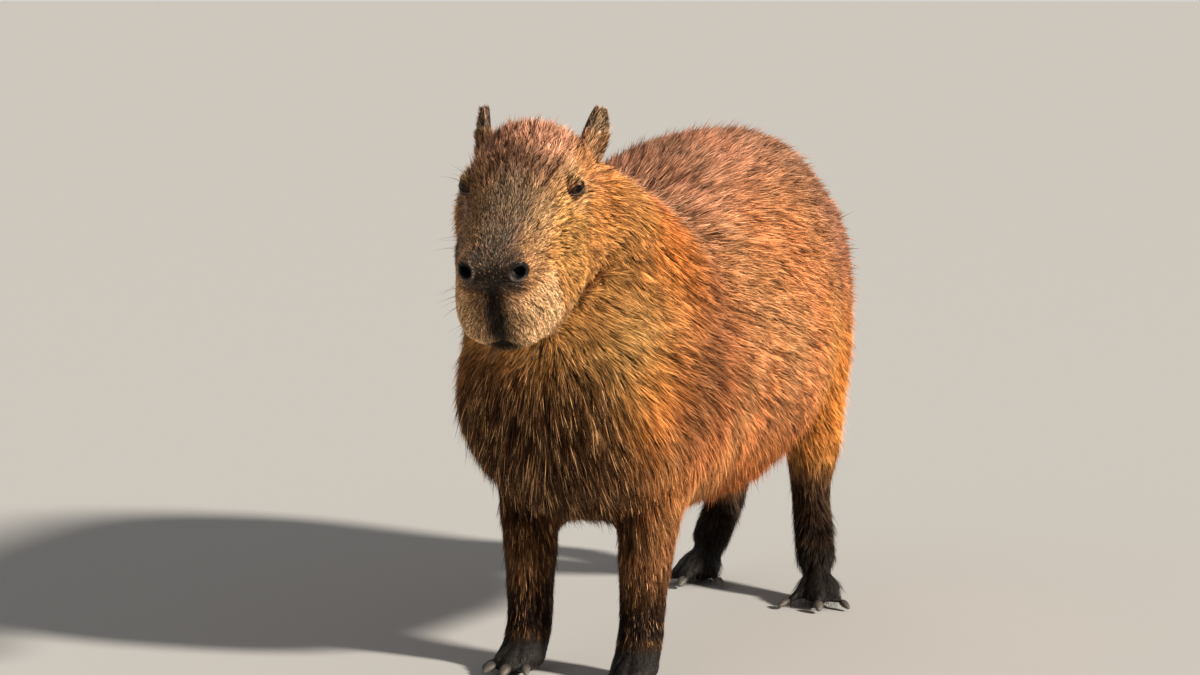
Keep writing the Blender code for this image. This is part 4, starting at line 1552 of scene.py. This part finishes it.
@dataclass
class Coat:
    """The hair on the skin, in overlapping tufts that follow its lie."""

    skin: Piece
    found: Fields
    head: HeadFrame
    eyes: list[Eye]
    seed: int = 11
    patch: float = 0.003
    above_floor: float = 0.4 * MM
    under_share: float = 0.30
    over_share: float = 0.20
    tangle: float = math.radians(34)

    def grow_roots(self) -> Roots:
        """Scatters roots over the skin by each place's density.

        Returns:
            The roots.
        """
        mesh, found = self.skin.data, self.found
        points, normals = points_of(mesh), normals_of(mesh)
        density = found.density * self.furred(points, normals) * 1e4
        running = np.cumsum(areas(mesh) * density[triangles_of(mesh)].mean(axis=1))
        count = int(running[-1])
        draw = np.random.default_rng(self.seed)
        spots = (np.arange(count) + draw.random(count)) * running[-1] / count
        spread_out = scattered(mesh, running, spots, draw)
        blend = spread_out.blend
        normal, lie = unit(blend(normals)), blend(found.lie)
        lie = unit(lie - normal * dot(lie, normal)[:, None])
        sizes = (blend(getattr(found, name)) for name in ("length", "width", "lift", "droop", "pale"))
        zone = found.zone[spread_out.corners[:, 0]]
        return Roots(blend(points), normal, lie, blend(found.tone), *sizes, zone)

    def furred(self, points: Array, normals: Array) -> Array:
        """Where hair grows: not on the soles, in the nostrils, in the mouth or in the eyes.

        Args:
            points: The skin's vertices.
            normals: Their normals.

        Returns:
            The share of the hair that grows at each.
        """
        place = self.head.local(points)
        keep = 1 - ease(0.020, 0.006, points[:, 2]) * ease(-0.2, -0.6, normals[:, 2])
        keep *= 1 - 0.75 * ease(0.075, 0.030, points[:, 2])
        for side in Side:
            offset = self.head.from_nostril(place, side, 0.158)
            keep *= ease(0.0082, 0.0100, np.linalg.norm(offset * (1, 1.05, 0.25), axis=1))
        for eye in self.eyes:
            offset = eye.local(points)
            near = np.linalg.norm(offset, axis=1) < 22 * MM
            ahead = 1.4 * MM * ease(2 * MM, -8 * MM, offset[:, 0])
            lids = ease(1.2 * MM, 2.4 * MM, eye.margin(offset) - ahead) * (1 - 0.9 * eye.fold(offset))
            keep *= np.where(near, lids, 1.0)
        slit = np.abs(self.head.mouth_line(place))
        mouth = ease(0.0040, 0.0020, slit) * ease(0.022, 0.012, np.abs(place[:, 0]))
        mouth *= ease(0.08, 0.10, place[:, 2])
        return keep * (1 - mouth)

    def locks(self, roots: Roots, width: float, draw: Chance) -> Locks:
        """Gathers roots into narrow locks that run along the lie.

        Args:
            roots: The roots.
            width: A lock's width.
            draw: The source of chance.

        Returns:
            The locks.
        """
        patch = 11 * width
        sway = [Wobble(patch * 2.5, 40 + axis).at(roots.place) for axis in range(3)]
        member = numbered(np.floor((roots.place + 0.3 * patch * np.column_stack(sway)) / patch))
        way = unit(group_mean(roots.lie, member))
        side = unit(np.cross(group_mean(roots.normal, member), way))
        offset = roots.place - group_mean(roots.place, member)
        across = dot(offset, side) / width + 0.30 * Wobble(width * 5, 47).at(roots.place)
        column = np.floor(across)
        along = dot(offset, way) / (LOCK_STRETCH * width) + 0.618 * column
        row = np.floor(along)
        lock = numbered(np.column_stack((member, column, row)))
        chance = draw.normal(size=(lock.max() + 1, 4))[lock]
        streak = numbered(np.column_stack((member, column)))
        shared = draw.normal(size=streak.max() + 1)[streak]
        chance[:, 2] = 0.65 * chance[:, 2] + 0.75 * shared
        return Locks(2 * (across - column) - 1, along - row, chance)

    def tufts(self, roots: Roots, part: CoatPart, draw: Chance) -> Mesh:
        """Builds a part's tufts as one mesh.

        Args:
            roots: The part's roots.
            part: The part.
            draw: The source of chance.

        Returns:
            The mesh, with its marks and its map.
        """
        count = len(roots.place)
        locks = self.locks(roots, part.lock, draw)
        sway, rise = locks.chance[:, 0], locks.chance[:, 1]
        waves = Wobble(0.055, 21).at(roots.place)
        yaw = np.radians(part.mess * (4.0 * sway + 5.0 * waves + 4.0 * draw.normal(size=count)))
        lie = turned(roots.lie, roots.normal, yaw)
        side = np.cross(roots.normal, lie)
        stray = 1.0 * (draw.random(count) < part.strays)
        kind = draw.random(count)
        under, over = 1.0 * (kind < self.under_share), 1.0 * (kind > 1 - self.over_share)
        length = roots.length * np.clip(draw.lognormal(-0.02, 0.15, count), 0.55, 1.45)
        length = length * (1 + 0.15 * stray + 0.42 * (0.5 - locks.along)) * (1 - 0.28 * under)
        crown = 1 - 2 * locks.across**2
        lift = roots.lift * np.clip(1 + part.mess * (0.14 * draw.normal(size=count) + 0.12 * rise), 0.4, 1.8)
        lift = lift * (1 - 0.25 * under + 0.18 * over + 0.14 * crown) + math.radians(10) * stray
        lift = np.minimum(lift, 1.5 * roots.lift + math.radians(6))
        level = roots.lift * 0.20 + np.radians(draw.normal(0.0, 2.5, count) + 8.0 * stray)
        drawn_in = -0.30 * part.lock * locks.across * (1 - stray)
        bend = drawn_in / length + draw.normal(0.0, 0.035 * part.mess, count)
        roll = -self.tangle * locks.across + draw.normal(0.0, math.radians(10), count)
        across = side * np.cos(roll)[:, None] + roots.normal * np.sin(roll)[:, None]
        across = across * (roots.width * draw.uniform(0.38, 0.62, count))[:, None]
        points = np.empty((count, 4, 3))
        points[:, 0] = roots.place
        turn = np.where(np.abs(level - lift) < 1e-3, 1e-3, level - lift)
        for corner, share in ((1, WIDEST), (3, 1.0)):
            angle = lift + turn * share
            ahead = (np.sin(angle) - np.sin(lift)) / turn
            up = (np.cos(lift) - np.cos(angle)) / turn
            aside = bend * share**2
            path = lie * ahead[:, None] + roots.normal * up[:, None] + side * aside[:, None]
            path = path * length[:, None]
            path[:, 2] -= roots.droop * length * share**2
            points[:, corner] = roots.place + path
        points[:, 2] = points[:, 1] + across
        points[:, 1] -= across
        points[:, :, 2] = np.maximum(points[:, :, 2], self.above_floor)
        shade = self.shades(locks, over - under, part.contrast, draw)
        pale = draw.random(count) < roots.pale * np.where(locks.chance[:, 2] > 0, 1.6, 0.4)
        return self.tuft_mesh(points, roots, part, shade, pale, draw)

    def shades(self, locks: Locks, layer: Array, contrast: float, draw: Chance) -> Array:
        """How light each tuft is: locks differ, their edges are darker as painted shade between the locks,
        and single hairs stand out.

        Args:
            locks: The tufts' locks.
            layer: 1 for the tufts that lie on top, -1 for underfur, and 0 for the rest.
            contrast: How strongly they differ.
            draw: The source of chance.

        Returns:
            Values from 0 to 1.
        """
        count = len(layer)
        differ = 0.070 * draw.normal(size=count) + 0.14 * locks.chance[:, 2] + 0.12 * layer
        # The edges of each lock are darkened as painted shade in the gaps between locks.
        shade = 0.38 + contrast * (differ + 0.11 - 0.34 * locks.across**2)
        shade = np.where(locks.chance[:, 3] > 1.6, (1 - 0.20 * contrast) * shade, shade)
        pick = draw.random(count)
        shade = np.where(pick < 0.06, shade * draw.uniform(0.25, 0.6, count), shade)
        shade = np.where(pick > 0.93, shade * 1.6 + 0.06, shade)
        return np.clip(shade, 0.0, 1.0)

    def tuft_mesh(
        self, points: Array, roots: Roots, part: CoatPart, shade: Array, pale: Array,
        draw: Chance,
    ) -> Mesh:
        """Turns rows of tuft corners into a mesh with its marks and its map.

        Args:
            points: For each tuft, its root, its two sides and its tip.
            roots: The part's roots.
            part: The part.
            shade: How light each tuft is.
            pale: Which tufts are pale hairs among darker ones.
            draw: The source of chance.

        Returns:
            The mesh.
        """
        count = len(points)
        loops = (np.arange(count)[:, None] * 4 + np.array((0, 2, 1, 1, 2, 3))).ravel()
        mesh = joined_mesh(part.name, points.reshape(-1, 3), loops.reshape(-1, 3))
        share = np.array((0.0, WIDEST, WIDEST, 1.0))
        edge = np.array((0.0, -0.5, 0.5, 0.0))
        hue = 1 + np.outer(0.09 * draw.normal(size=count), (0.5, 1.0, 1.6))
        tone = np.where(pale[:, None], PALE_HAIR, roots.tone) * hue
        paint(mesh, "tone", np.repeat(np.clip(tone, 0.002, 0.9), 4, axis=0))
        paint(mesh, "along", np.tile(share, count))
        paint(mesh, "shade", np.repeat(shade, 4))
        spot = part.axis.unrolled(roots.place)
        flat = np.empty((count, 4, 2))
        flat[:, :, 0] = spot[:, :1] + edge * self.patch
        flat[:, :, 1] = spot[:, 1:] + (share - 0.5) * self.patch
        sheet = mesh.uv_layers.new(name="OFBake")
        sheet.uv.foreach_set("vector", flat.reshape(-1, 2)[loops].ravel())
        return mesh

    def build(self, parts: list[CoatPart], material: Material) -> list[Piece]:
        """Builds every piece of coat.

        Args:
            parts: The pieces.
            material: The hair's finish.

        Returns:
            The pieces.
        """
        roots = self.grow_roots()
        made = []
        for number, part in enumerate(parts):
            chosen = np.isin(roots.zone, [zone.value for zone in part.zones])
            if part.side:
                chosen &= roots.place[:, 0] * part.side.value > 0
            mesh = self.tufts(roots.only(chosen), part, np.random.default_rng(self.seed + 100 + number))
            mesh.materials.append(material)
            made.append(new_object(part.name, mesh))
            LOG.info("%s: %d tufts, %d triangles", part.name, chosen.sum(), 2 * chosen.sum())
        return made


def coat_parts(head: HeadFrame) -> list[CoatPart]:
    """Divides the coat into pieces.

    Args:
        head: The head's axes.

    Returns:
        The pieces, in the order in which they are built.
    """
    nose_line = Axis(tuple(head.world((0.0, -0.055, 0.0))[0]), tuple(head.way(0, 0, 1)))
    barrel = Axis((0.0, 0.0, 0.37), (0.0, 1.0, 0.0))
    parts = [
        CoatPart(
            "coat_muzzle", (Zone.NOSE, Zone.LIPS, Zone.BRIDGE, Zone.JAW), nose_line, lock=1.5 * MM, mess=1.5,
            contrast=0.85,
        ),
        CoatPart("coat_brow", (Zone.BROW, Zone.CROWN), nose_line, lock=2.4 * MM, mess=2.2, strays=0.06),
        CoatPart("coat_throat", (Zone.THROAT,), barrel, mess=1.4, strays=0.08, contrast=1.4),
        CoatPart("coat_chest", (Zone.CHEST,), barrel, mess=1.4, strays=0.06, contrast=1.4),
        CoatPart("coat_nape", (Zone.NAPE,), barrel),
        CoatPart("coat_belly", (Zone.BELLY,), barrel),
    ]
    for side in Side:
        fore, hind = (
            Axis((*node_middle(f"{foot}_{side.word}")[:2], 0.0), (0.0, 0.0, 1.0))
            for foot in ("forefoot", "hindfoot")
        )
        parts += [
            CoatPart(
                f"coat_cheek_{side.word}", (Zone.CHEEK, Zone.LID), nose_line, side, 1.9 * MM, 1.2, 0.05
            ),
            CoatPart(f"coat_neck_{side.word}", (Zone.NECK,), barrel, side, strays=0.08),
            CoatPart(f"coat_shoulder_{side.word}", (Zone.SHOULDER,), barrel, side),
            CoatPart(f"coat_back_{side.word}", (Zone.BACK,), barrel, side),
            CoatPart(f"coat_flank_{side.word}", (Zone.FLANK,), barrel, side),
            CoatPart(f"coat_rump_{side.word}", (Zone.RUMP,), barrel, side),
            CoatPart(f"coat_arm_{side.word}", (Zone.UPPER_ARM,), fore, side),
            CoatPart(
                f"coat_forefoot_{side.word}", (Zone.FOREARM, Zone.FORE_FOOT), fore, side, 2.2 * MM,
                contrast=1.0,
            ),
            CoatPart(f"coat_thigh_{side.word}", (Zone.THIGH,), hind, side),
            CoatPart(f"coat_hindfoot_{side.word}", (Zone.SHANK, Zone.HIND_FOOT), hind, side, 2.2 * MM),
        ]
    return parts


# ---- ears ---------------------------------------------------------------------------------------
@dataclass
class Ear:
    """One ear: a thin cupped shell with a rolled front rim, and the short hair on it."""

    side: Side
    head: HeadFrame
    tip_spread: float
    width: float = 38 * MM
    cup: float = 11 * MM
    thickness: float = 2.4 * MM
    sunk: float = 0.45
    rows: int = 18
    columns: int = 14
    outline: tuple[tuple[float, float], ...] = (
        (0, 0.80), (0.3, 1.0), (0.45, 1.04), (0.60, 1.01), (0.75, 0.87), (0.88, 0.62), (0.96, 0.38),
        (1, 0.20),
    )

    def __post_init__(self) -> None:
        """Works out the ear's middle line and its directions."""
        sign = self.side.value
        front, lobe, tip = self.head.world(
            (sign * 0.049, 0.018, -0.073),
            (sign * 0.067, -0.015, -0.091),
            (sign * self.tip_spread, 0.035, -0.106),
        )
        self.foot, self.tip = (front + lobe) / 2, tip
        self.rise = unit(tip - self.foot)
        across = lobe - front
        self.across = unit(across - self.rise * (across @ self.rise))
        self.hollow = sign * np.cross(self.across, self.rise)

    def shell(self) -> Mesh:
        """Builds the shell.

        Returns:
            Its closed mesh.
        """
        share, edge = np.meshgrid(
            np.linspace(0, 0.96, self.rows + 1), np.linspace(-1, 1, self.columns + 1), indexing="ij"
        )
        heights, widths = zip(*self.outline)
        half = self.width / 2 * np.interp(share, heights, widths) * 0.97
        reach = share * (1 + self.sunk) - self.sunk
        cup = self.cup * (edge**2 * (1 - 0.45 * share) - 0.5)
        roll = ease(-0.55, -1.0, edge) * np.sin(np.clip(share, 0, 1) * math.pi) ** 0.6
        place = (
            self.foot + (self.tip - self.foot) * reach[..., None]
            + self.across * (edge * half + 3.0 * MM * roll)[..., None]
            + self.hollow * (cup + 2.2 * MM * roll)[..., None]
        )
        index = np.arange(share.size).reshape(share.shape)
        quads = np.stack((index[:-1, :-1], index[:-1, 1:], index[1:, 1:], index[1:, :-1]), axis=-1)
        quads = quads.reshape(-1, 4)
        mesh = joined_mesh("ear_shell", place.reshape(-1, 3), quads)
        made = new_object(mesh.name, mesh)
        solid = made.modifiers.new("Shell", "SOLIDIFY")
        solid.thickness, solid.offset = self.thickness, 0.0
        smooth = made.modifiers.new("Smooth", "SUBSURF")
        smooth.levels = smooth.render_levels = 1
        mesh = settled(made)
        bpy.data.objects.remove(made)
        return mesh

    def hair_roots(self, mesh: Mesh, per_square_cm: float, seed: int) -> Roots:
        """Scatters the ear's hair.

        Args:
            mesh: The shell.
            per_square_cm: Tufts to a square centimetre.
            seed: The seed of chance.

        Returns:
            The roots.
        """
        running = np.cumsum(areas(mesh))
        count = int(running[-1] * 1e4 * per_square_cm)
        draw = np.random.default_rng(seed)
        blend = scattered(mesh, running, draw.random(count) * running[-1], draw).blend
        place, normal = blend(points_of(mesh)), unit(blend(normals_of(mesh)))
        inside = ease(-0.1, 0.4, normal @ self.hollow)
        offset = place - self.foot
        height = offset @ self.rise / np.linalg.norm(self.tip - self.foot)
        edge = offset @ self.across / (self.width / 2)
        lie = self.rise + self.across * (0.7 * edge)[:, None] + self.hollow * 0.1
        lie = unit(lie - normal * dot(lie, normal)[:, None])
        rim = ease(0.55, 0.95, np.maximum(np.abs(edge), height))
        # Painted light: the left ear's hair is lighter than the right's, as if lit from that side.
        outer = (0.30, 0.170, 0.105) if self.side is Side.LEFT else (0.22, 0.150, 0.110)
        tone = np.outer(1 - inside, outer) + np.outer(inside, (0.48, 0.30, 0.17))
        deep = (inside * hump(height, 0.50, 0.22) * hump(edge, -0.05, 0.40))[:, None]
        tone = tone * (1 - 0.55 * deep)
        # The strip inside the front rim is darker, partly bare dark skin and partly painted shade; the hair
        # also darkens towards the tip.
        front = (ease(-0.45, -0.70, edge) * inside * ease(0.25, 0.45, height))[:, None]
        tone = tone * (1 - 0.60 * front) * (1 - 0.5 * ease(0.88, 0.98, height))[:, None]
        based = ease(0.42, 0.12, height)[:, None]
        tone = tone * (1 - based) + np.array((0.42, 0.215, 0.105)) * based
        length = (2.6 + 0.8 * rim + 2.0 * inside * ease(-0.5, 0.2, edge) + 4.0 * based[:, 0]) * MM
        ones = np.ones(count)
        keep = (height > -0.42) & (draw.random(count) > 0.60 * front[:, 0])
        roots = Roots(
            place, normal, lie, tone, length, 0.6 * MM * ones, np.radians(15 + 8 * rim), 0 * ones,
            0 * ones, np.full(count, Zone.CROWN.value),
        )
        return roots.only(keep)

    def dress(self, mesh: Mesh) -> None:
        """Stores the skin's marks on the shell.

        Args:
            mesh: The shell.
        """
        points, normals = points_of(mesh), normals_of(mesh)
        inside = ease(-0.1, 0.5, normals @ self.hollow)[:, None]
        paint(mesh, "tone", AUBURN * (1 - inside) + np.array((0.07, 0.05, 0.042)) * inside)
        paint(mesh, "bare", 0.25 + 0.7 * inside[:, 0])
        paint(mesh, "stain", np.ones((len(points), 3)) * (1.0 - 0.4 * inside))


# ---- lids' rims, claws and bristles -------------------------------------------------------------
def lid_rim(eye: Eye) -> Mesh:
    """Builds the smooth wet margin of an eye's lids.

    Args:
        eye: The eye.

    Returns:
        The margin's mesh, marked as bare dark skin.
    """
    count = 72
    profile = ((-1.0, -0.6), (-0.6, 0.7), (-0.1, 1.45), (0.5, 1.85), (1.2, 1.90), (2.0, 0.9))
    rings = [eye.rim_points(margin * MM, eye.radius + rise * MM, count) for margin, rise in profile]
    mesh = joined_mesh(f"lid_rim_{eye.side.word}", np.vstack(rings), ring_quads(len(profile), count))
    points = points_of(mesh)
    flat = eye.local(points)
    lower = ease(0.5 * MM, -1.5 * MM, flat[:, 1]) * ease(-0.2 * MM, 0.5 * MM, eye.margin(flat))
    paint(mesh, "tone", np.full((len(points), 3), 0.05))
    paint(mesh, "bare", np.ones(len(points)))
    paint(mesh, "stain", 0.5 + np.outer(lower, (7.5, 5.4, 5.0)))
    return mesh


@dataclass
class Claws:
    """The claws: the frame's horn, smoothed and marked from root to tip."""

    def build(self, material: Material) -> list[tuple[Piece, str]]:
        """Builds one piece for each claw.

        Args:
            material: The horn's finish.

        Returns:
            Each piece with the node it replaces.
        """
        made = []
        for name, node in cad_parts.items():
            if not name.startswith("claw_"):
                continue
            claw = new_object(f"horn_{name[5:]}", node.data.copy())
            weld = claw.modifiers.new("Weld", "WELD")
            weld.merge_threshold = 0.02 * MM
            smooth = claw.modifiers.new("Smooth", "SUBSURF")
            smooth.levels = smooth.render_levels = 2
            mesh = settled(claw)
            mesh.materials.clear()
            mesh.materials.append(material)
            mesh.shade_smooth()
            kind, side = name.split("_")[1:3]
            foot = node_middle(f"{kind}foot_{side}")
            points = points_of(mesh)
            away = points.mean(axis=0) - foot
            away[2] = 0
            along = points @ unit(away)
            along = (along - along.min()) / (along.max() - along.min())
            paint(mesh, "along", along)
            made.append((claw, name))
        return made


@dataclass(frozen=True)
class BristleBed:
    """A patch that grows stiff bristles, in the head's own left, up and ahead."""

    low: Triple
    high: Triple
    way: Triple
    count: int
    length: tuple[float, float]
    tone: Colour


@dataclass
class Bristles:
    """Whiskers, brow bristles and the stiff hairs of the chin."""

    head: HeadFrame
    skin: Piece
    seed: int = 5
    sides: int = 3
    joints: int = 9
    thickness: float = 0.42 * MM
    beds: tuple[BristleBed, ...] = (
        BristleBed(
            (0.026, -0.088, 0.105), (0.050, -0.030, 0.150), (1.0, -0.35, 0.10), 12, (0.014, 0.028),
            (0.30, 0.22, 0.15),
        ),
        BristleBed(
            (0.050, 0.016, -0.012), (0.062, 0.022, 0.022), (0.9, 0.9, 0.25), 7, (0.024, 0.040),
            (0.03, 0.02, 0.015),
        ),
        BristleBed(
            (0.055, -0.060, 0.020), (0.072, -0.035, 0.060), (1.0, -0.1, -0.2), 5, (0.022, 0.036),
            (0.12, 0.08, 0.05),
        ),
        BristleBed(
            (0.004, -0.118, 0.110), (0.026, -0.102, 0.145), (0.35, -1.0, 0.15), 9, (0.015, 0.030),
            (0.22, 0.16, 0.11),
        ),
    )

    def build(self, material: Material) -> Piece:
        """Builds all the bristles as one piece.

        Args:
            material: Their finish.

        Returns:
            The piece.
        """
        mesh = self.skin.data
        tree = KDTree(len(mesh.vertices))
        for vertex in mesh.vertices:
            tree.insert(vertex.co, vertex.index)
        tree.balance()
        draw = np.random.default_rng(self.seed)
        points, tones = [], []
        for bed in self.beds:
            for side in Side:
                for _ in range(bed.count):
                    spot = draw.uniform(bed.low, bed.high) * (side.value, 1, 1)
                    _, number, _ = tree.find(self.head.world(tuple(spot))[0])
                    vertex = mesh.vertices[number]
                    way = np.array(bed.way) * (side.value, 1, 1) + draw.normal(0, 0.16, 3)
                    way = unit(unit(way @ self.head.axes) + 0.5 * np.array(vertex.normal))
                    length = draw.uniform(*bed.length)
                    curl = unit(self.head.way(0, 0, -1) * 0.6 - (0, 0, 1)) * draw.uniform(0.15, 0.35)
                    points.append(self.hair(np.array(vertex.co), way, curl, length))
                    tones.append(np.array(bed.tone) * draw.uniform(0.6, 1.3))
        size = self.joints * self.sides
        quads = [ring_quads(self.joints, self.sides) + number * size for number in range(len(points))]
        made = joined_mesh("bristles", np.vstack(points), np.vstack(quads))
        paint(made, "tone", np.repeat(tones, size, axis=0))
        paint(made, "along", np.tile(np.repeat(np.linspace(0, 1, self.joints), self.sides), len(points)))
        paint(made, "shade", np.full(len(made.vertices), 0.5))
        made.materials.append(material)
        return new_object("bristles", made)

    def hair(self, root: Array, way: Array, curl: Array, length: float) -> Array:
        """One tapering curved bristle.

        Args:
            root: Where it grows.
            way: Its first direction.
            curl: How it bends by its tip.
            length: Its length.

        Returns:
            Rings of points.
        """
        share = np.linspace(0, 1, self.joints)
        path = root + length * (way * share[:, None] + curl * (share**2)[:, None]) - way * 1.5 * MM
        across = unit(np.cross(way, (0.13, 0.21, 0.97)))
        other = np.cross(way, across)
        angles = np.arange(self.sides) * math.tau / self.sides
        ring = np.cos(angles)[:, None] * across + np.sin(angles)[:, None] * other
        size = self.thickness / 2 * (1 - 0.88 * share)
        return (path[:, None] + ring[None] * size[:, None, None]).reshape(-1, 3)


# ---- studio -------------------------------------------------------------------------------------
@dataclass(frozen=True)
class Sun:
    """A soft distant light: the way it comes from and how wide it looks, in degrees, and its strength."""

    name: str
    azimuth: float
    height: float
    wide: float
    power: float
    colour: Colour

    def build(self) -> None:
        """Builds the light."""
        turn, rise = math.radians(self.azimuth), math.radians(self.height)
        flat = math.cos(rise)
        way = Vector((math.cos(turn) * flat, math.sin(turn) * flat, math.sin(rise)))
        data = bpy.data.lights.new(self.name, "SUN")
        data.energy, data.angle, data.color = self.power, math.radians(self.wide), self.colour
        made = bpy.data.objects.new(self.name, data)
        made.rotation_euler = way.to_track_quat("Z", "Y").to_euler()
        bpy.context.scene.collection.objects.link(made)


@dataclass(frozen=True)
class Studio:
    """The floor, the lights and the camera."""

    azimuth: float = math.radians(22.4)
    pitch: float = math.radians(6.15)
    lens: float = 93.9
    camera_place: Triple = (1.3414, -3.4043, 0.76)
    floor_half: float = 1500.0
    ambient: Colour = (1.0, 0.97, 0.94)
    ambient_strength: float = 0.20
    backdrop: Colour = (0.655, 0.632, 0.603)
    suns: tuple[Sun, ...] = (
        Sun("key", -8.0, 28.0, 6.0, 5.9, (1.0, 0.93, 0.82)),
        Sun("fill", -120.0, 30.0, 60.0, 0.18, (0.75, 0.90, 1.0)),
        Sun("back", 120.0, 40.0, 40.0, 0.18, (1.0, 0.96, 0.90)),
    )

    def surround(self) -> bpy.types.World:
        """Builds the soft light from all round, behind which the camera sees the floor's own pale tone.

        Returns:
            The world.
        """
        world = bpy.data.worlds.new("studio")
        world.use_nodes = True
        sheet = Sheet(world.node_tree)
        light = world.node_tree.nodes["Background"]
        light.inputs["Color"].default_value = (*self.ambient, 1.0)
        light.inputs["Strength"].default_value = self.ambient_strength
        seen = sheet.add("Background", {"Color": (*self.backdrop, 1.0), "Strength": 1.0})
        direct = sheet.add("LightPath").outputs["Is Camera Ray"]
        either = sheet.add("MixShader", {0: direct, 1: light.outputs[0], 2: seen.outputs[0]})
        sheet.tree.links.new(either.outputs[0], world.node_tree.nodes["World Output"].inputs["Surface"])
        return world

    def build(self, finish: FloorFinish) -> None:
        """Builds the stage, the lights and the camera.

        Args:
            finish: The floor's finish.
        """
        half = self.floor_half
        corners = np.array(((-half, -half, 0.0), (half, -half, 0.0), (half, half, 0.0), (-half, half, 0.0)))
        mesh = joined_mesh("floor", corners, np.arange(4)[None])
        mesh.materials.append(finish.material())
        new_object("floor", mesh)
        bpy.context.scene.world = self.surround()
        for sun in self.suns:
            sun.build()
        data = bpy.data.cameras.new("camera")
        data.lens, data.sensor_width, data.clip_end = self.lens, 36.0, 4000.0
        camera = bpy.data.objects.new("camera", data)
        camera.location = self.camera_place
        camera.rotation_euler = (math.pi / 2 - self.pitch, 0.0, self.azimuth)
        bpy.context.scene.collection.objects.link(camera)
        bpy.context.scene.camera = camera
        bpy.context.scene.view_settings.view_transform = "Standard"


def join_into(skin: Piece, extras: list[Mesh]) -> None:
    """Joins further meshes into the skin.

    Args:
        skin: The skin.
        extras: Meshes with the skin's marks.
    """
    others = [new_object(f"extra_{number}", mesh) for number, mesh in enumerate(extras)]
    with bpy.context.temp_override(active_object=skin, selected_editable_objects=[skin, *others]):
        bpy.ops.object.join()


def main() -> None:
    """Builds the whole model and its studio."""
    logging.basicConfig(level=logging.INFO, format="%(name)s: %(message)s")
    groups, head = Groups(), HeadFrame()
    eyes = [Eye(side, head) for side in Side]
    ears = [Ear(Side.LEFT, head, 0.070), Ear(Side.RIGHT, head, 0.061)]
    hair, skin_material = HairFinish("hair").material(groups), SkinFinish().material(groups)

    skin, found = Skin(head, eyes).build()
    coat = Coat(skin, found, head, eyes)
    pieces = coat.build(coat_parts(head), hair)
    shells = [ear.shell() for ear in ears]
    for number, (ear, shell) in enumerate(zip(ears, shells)):
        axis = Axis(tuple(ear.foot), tuple(ear.rise))
        part = CoatPart(f"coat_ear_{ear.side.word}", (Zone.CROWN,), axis, lock=1.4 * MM)
        mesh = coat.tufts(ear.hair_roots(shell, 110.0, 70 + number), part, np.random.default_rng(80 + number))
        mesh.materials.append(hair)
        pieces.append(new_object(part.name, mesh))
        ear.dress(shell)
    bristles = Bristles(head, skin).build(hair)
    join_into(skin, [*shells, *(lid_rim(eye) for eye in eyes)])
    skin.data.materials.clear()
    skin.data.materials.append(skin_material)
    for piece in (skin, *pieces, bristles):
        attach(piece, BODY)
    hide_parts(*FLESH_ZONES, "ear_left", "ear_right")

    eye_material = EyeFinish().material()
    for eye in eyes:
        ball = eye.build(eye_material)
        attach(ball, BODY)
        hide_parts(f"eye_{eye.side.word}")
    for claw, node in Claws().build(HornFinish().material(groups)):
        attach(claw, BODY)
        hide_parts(node)

    Studio().build(FloorFinish())


if __name__ == "__main__":
    main()
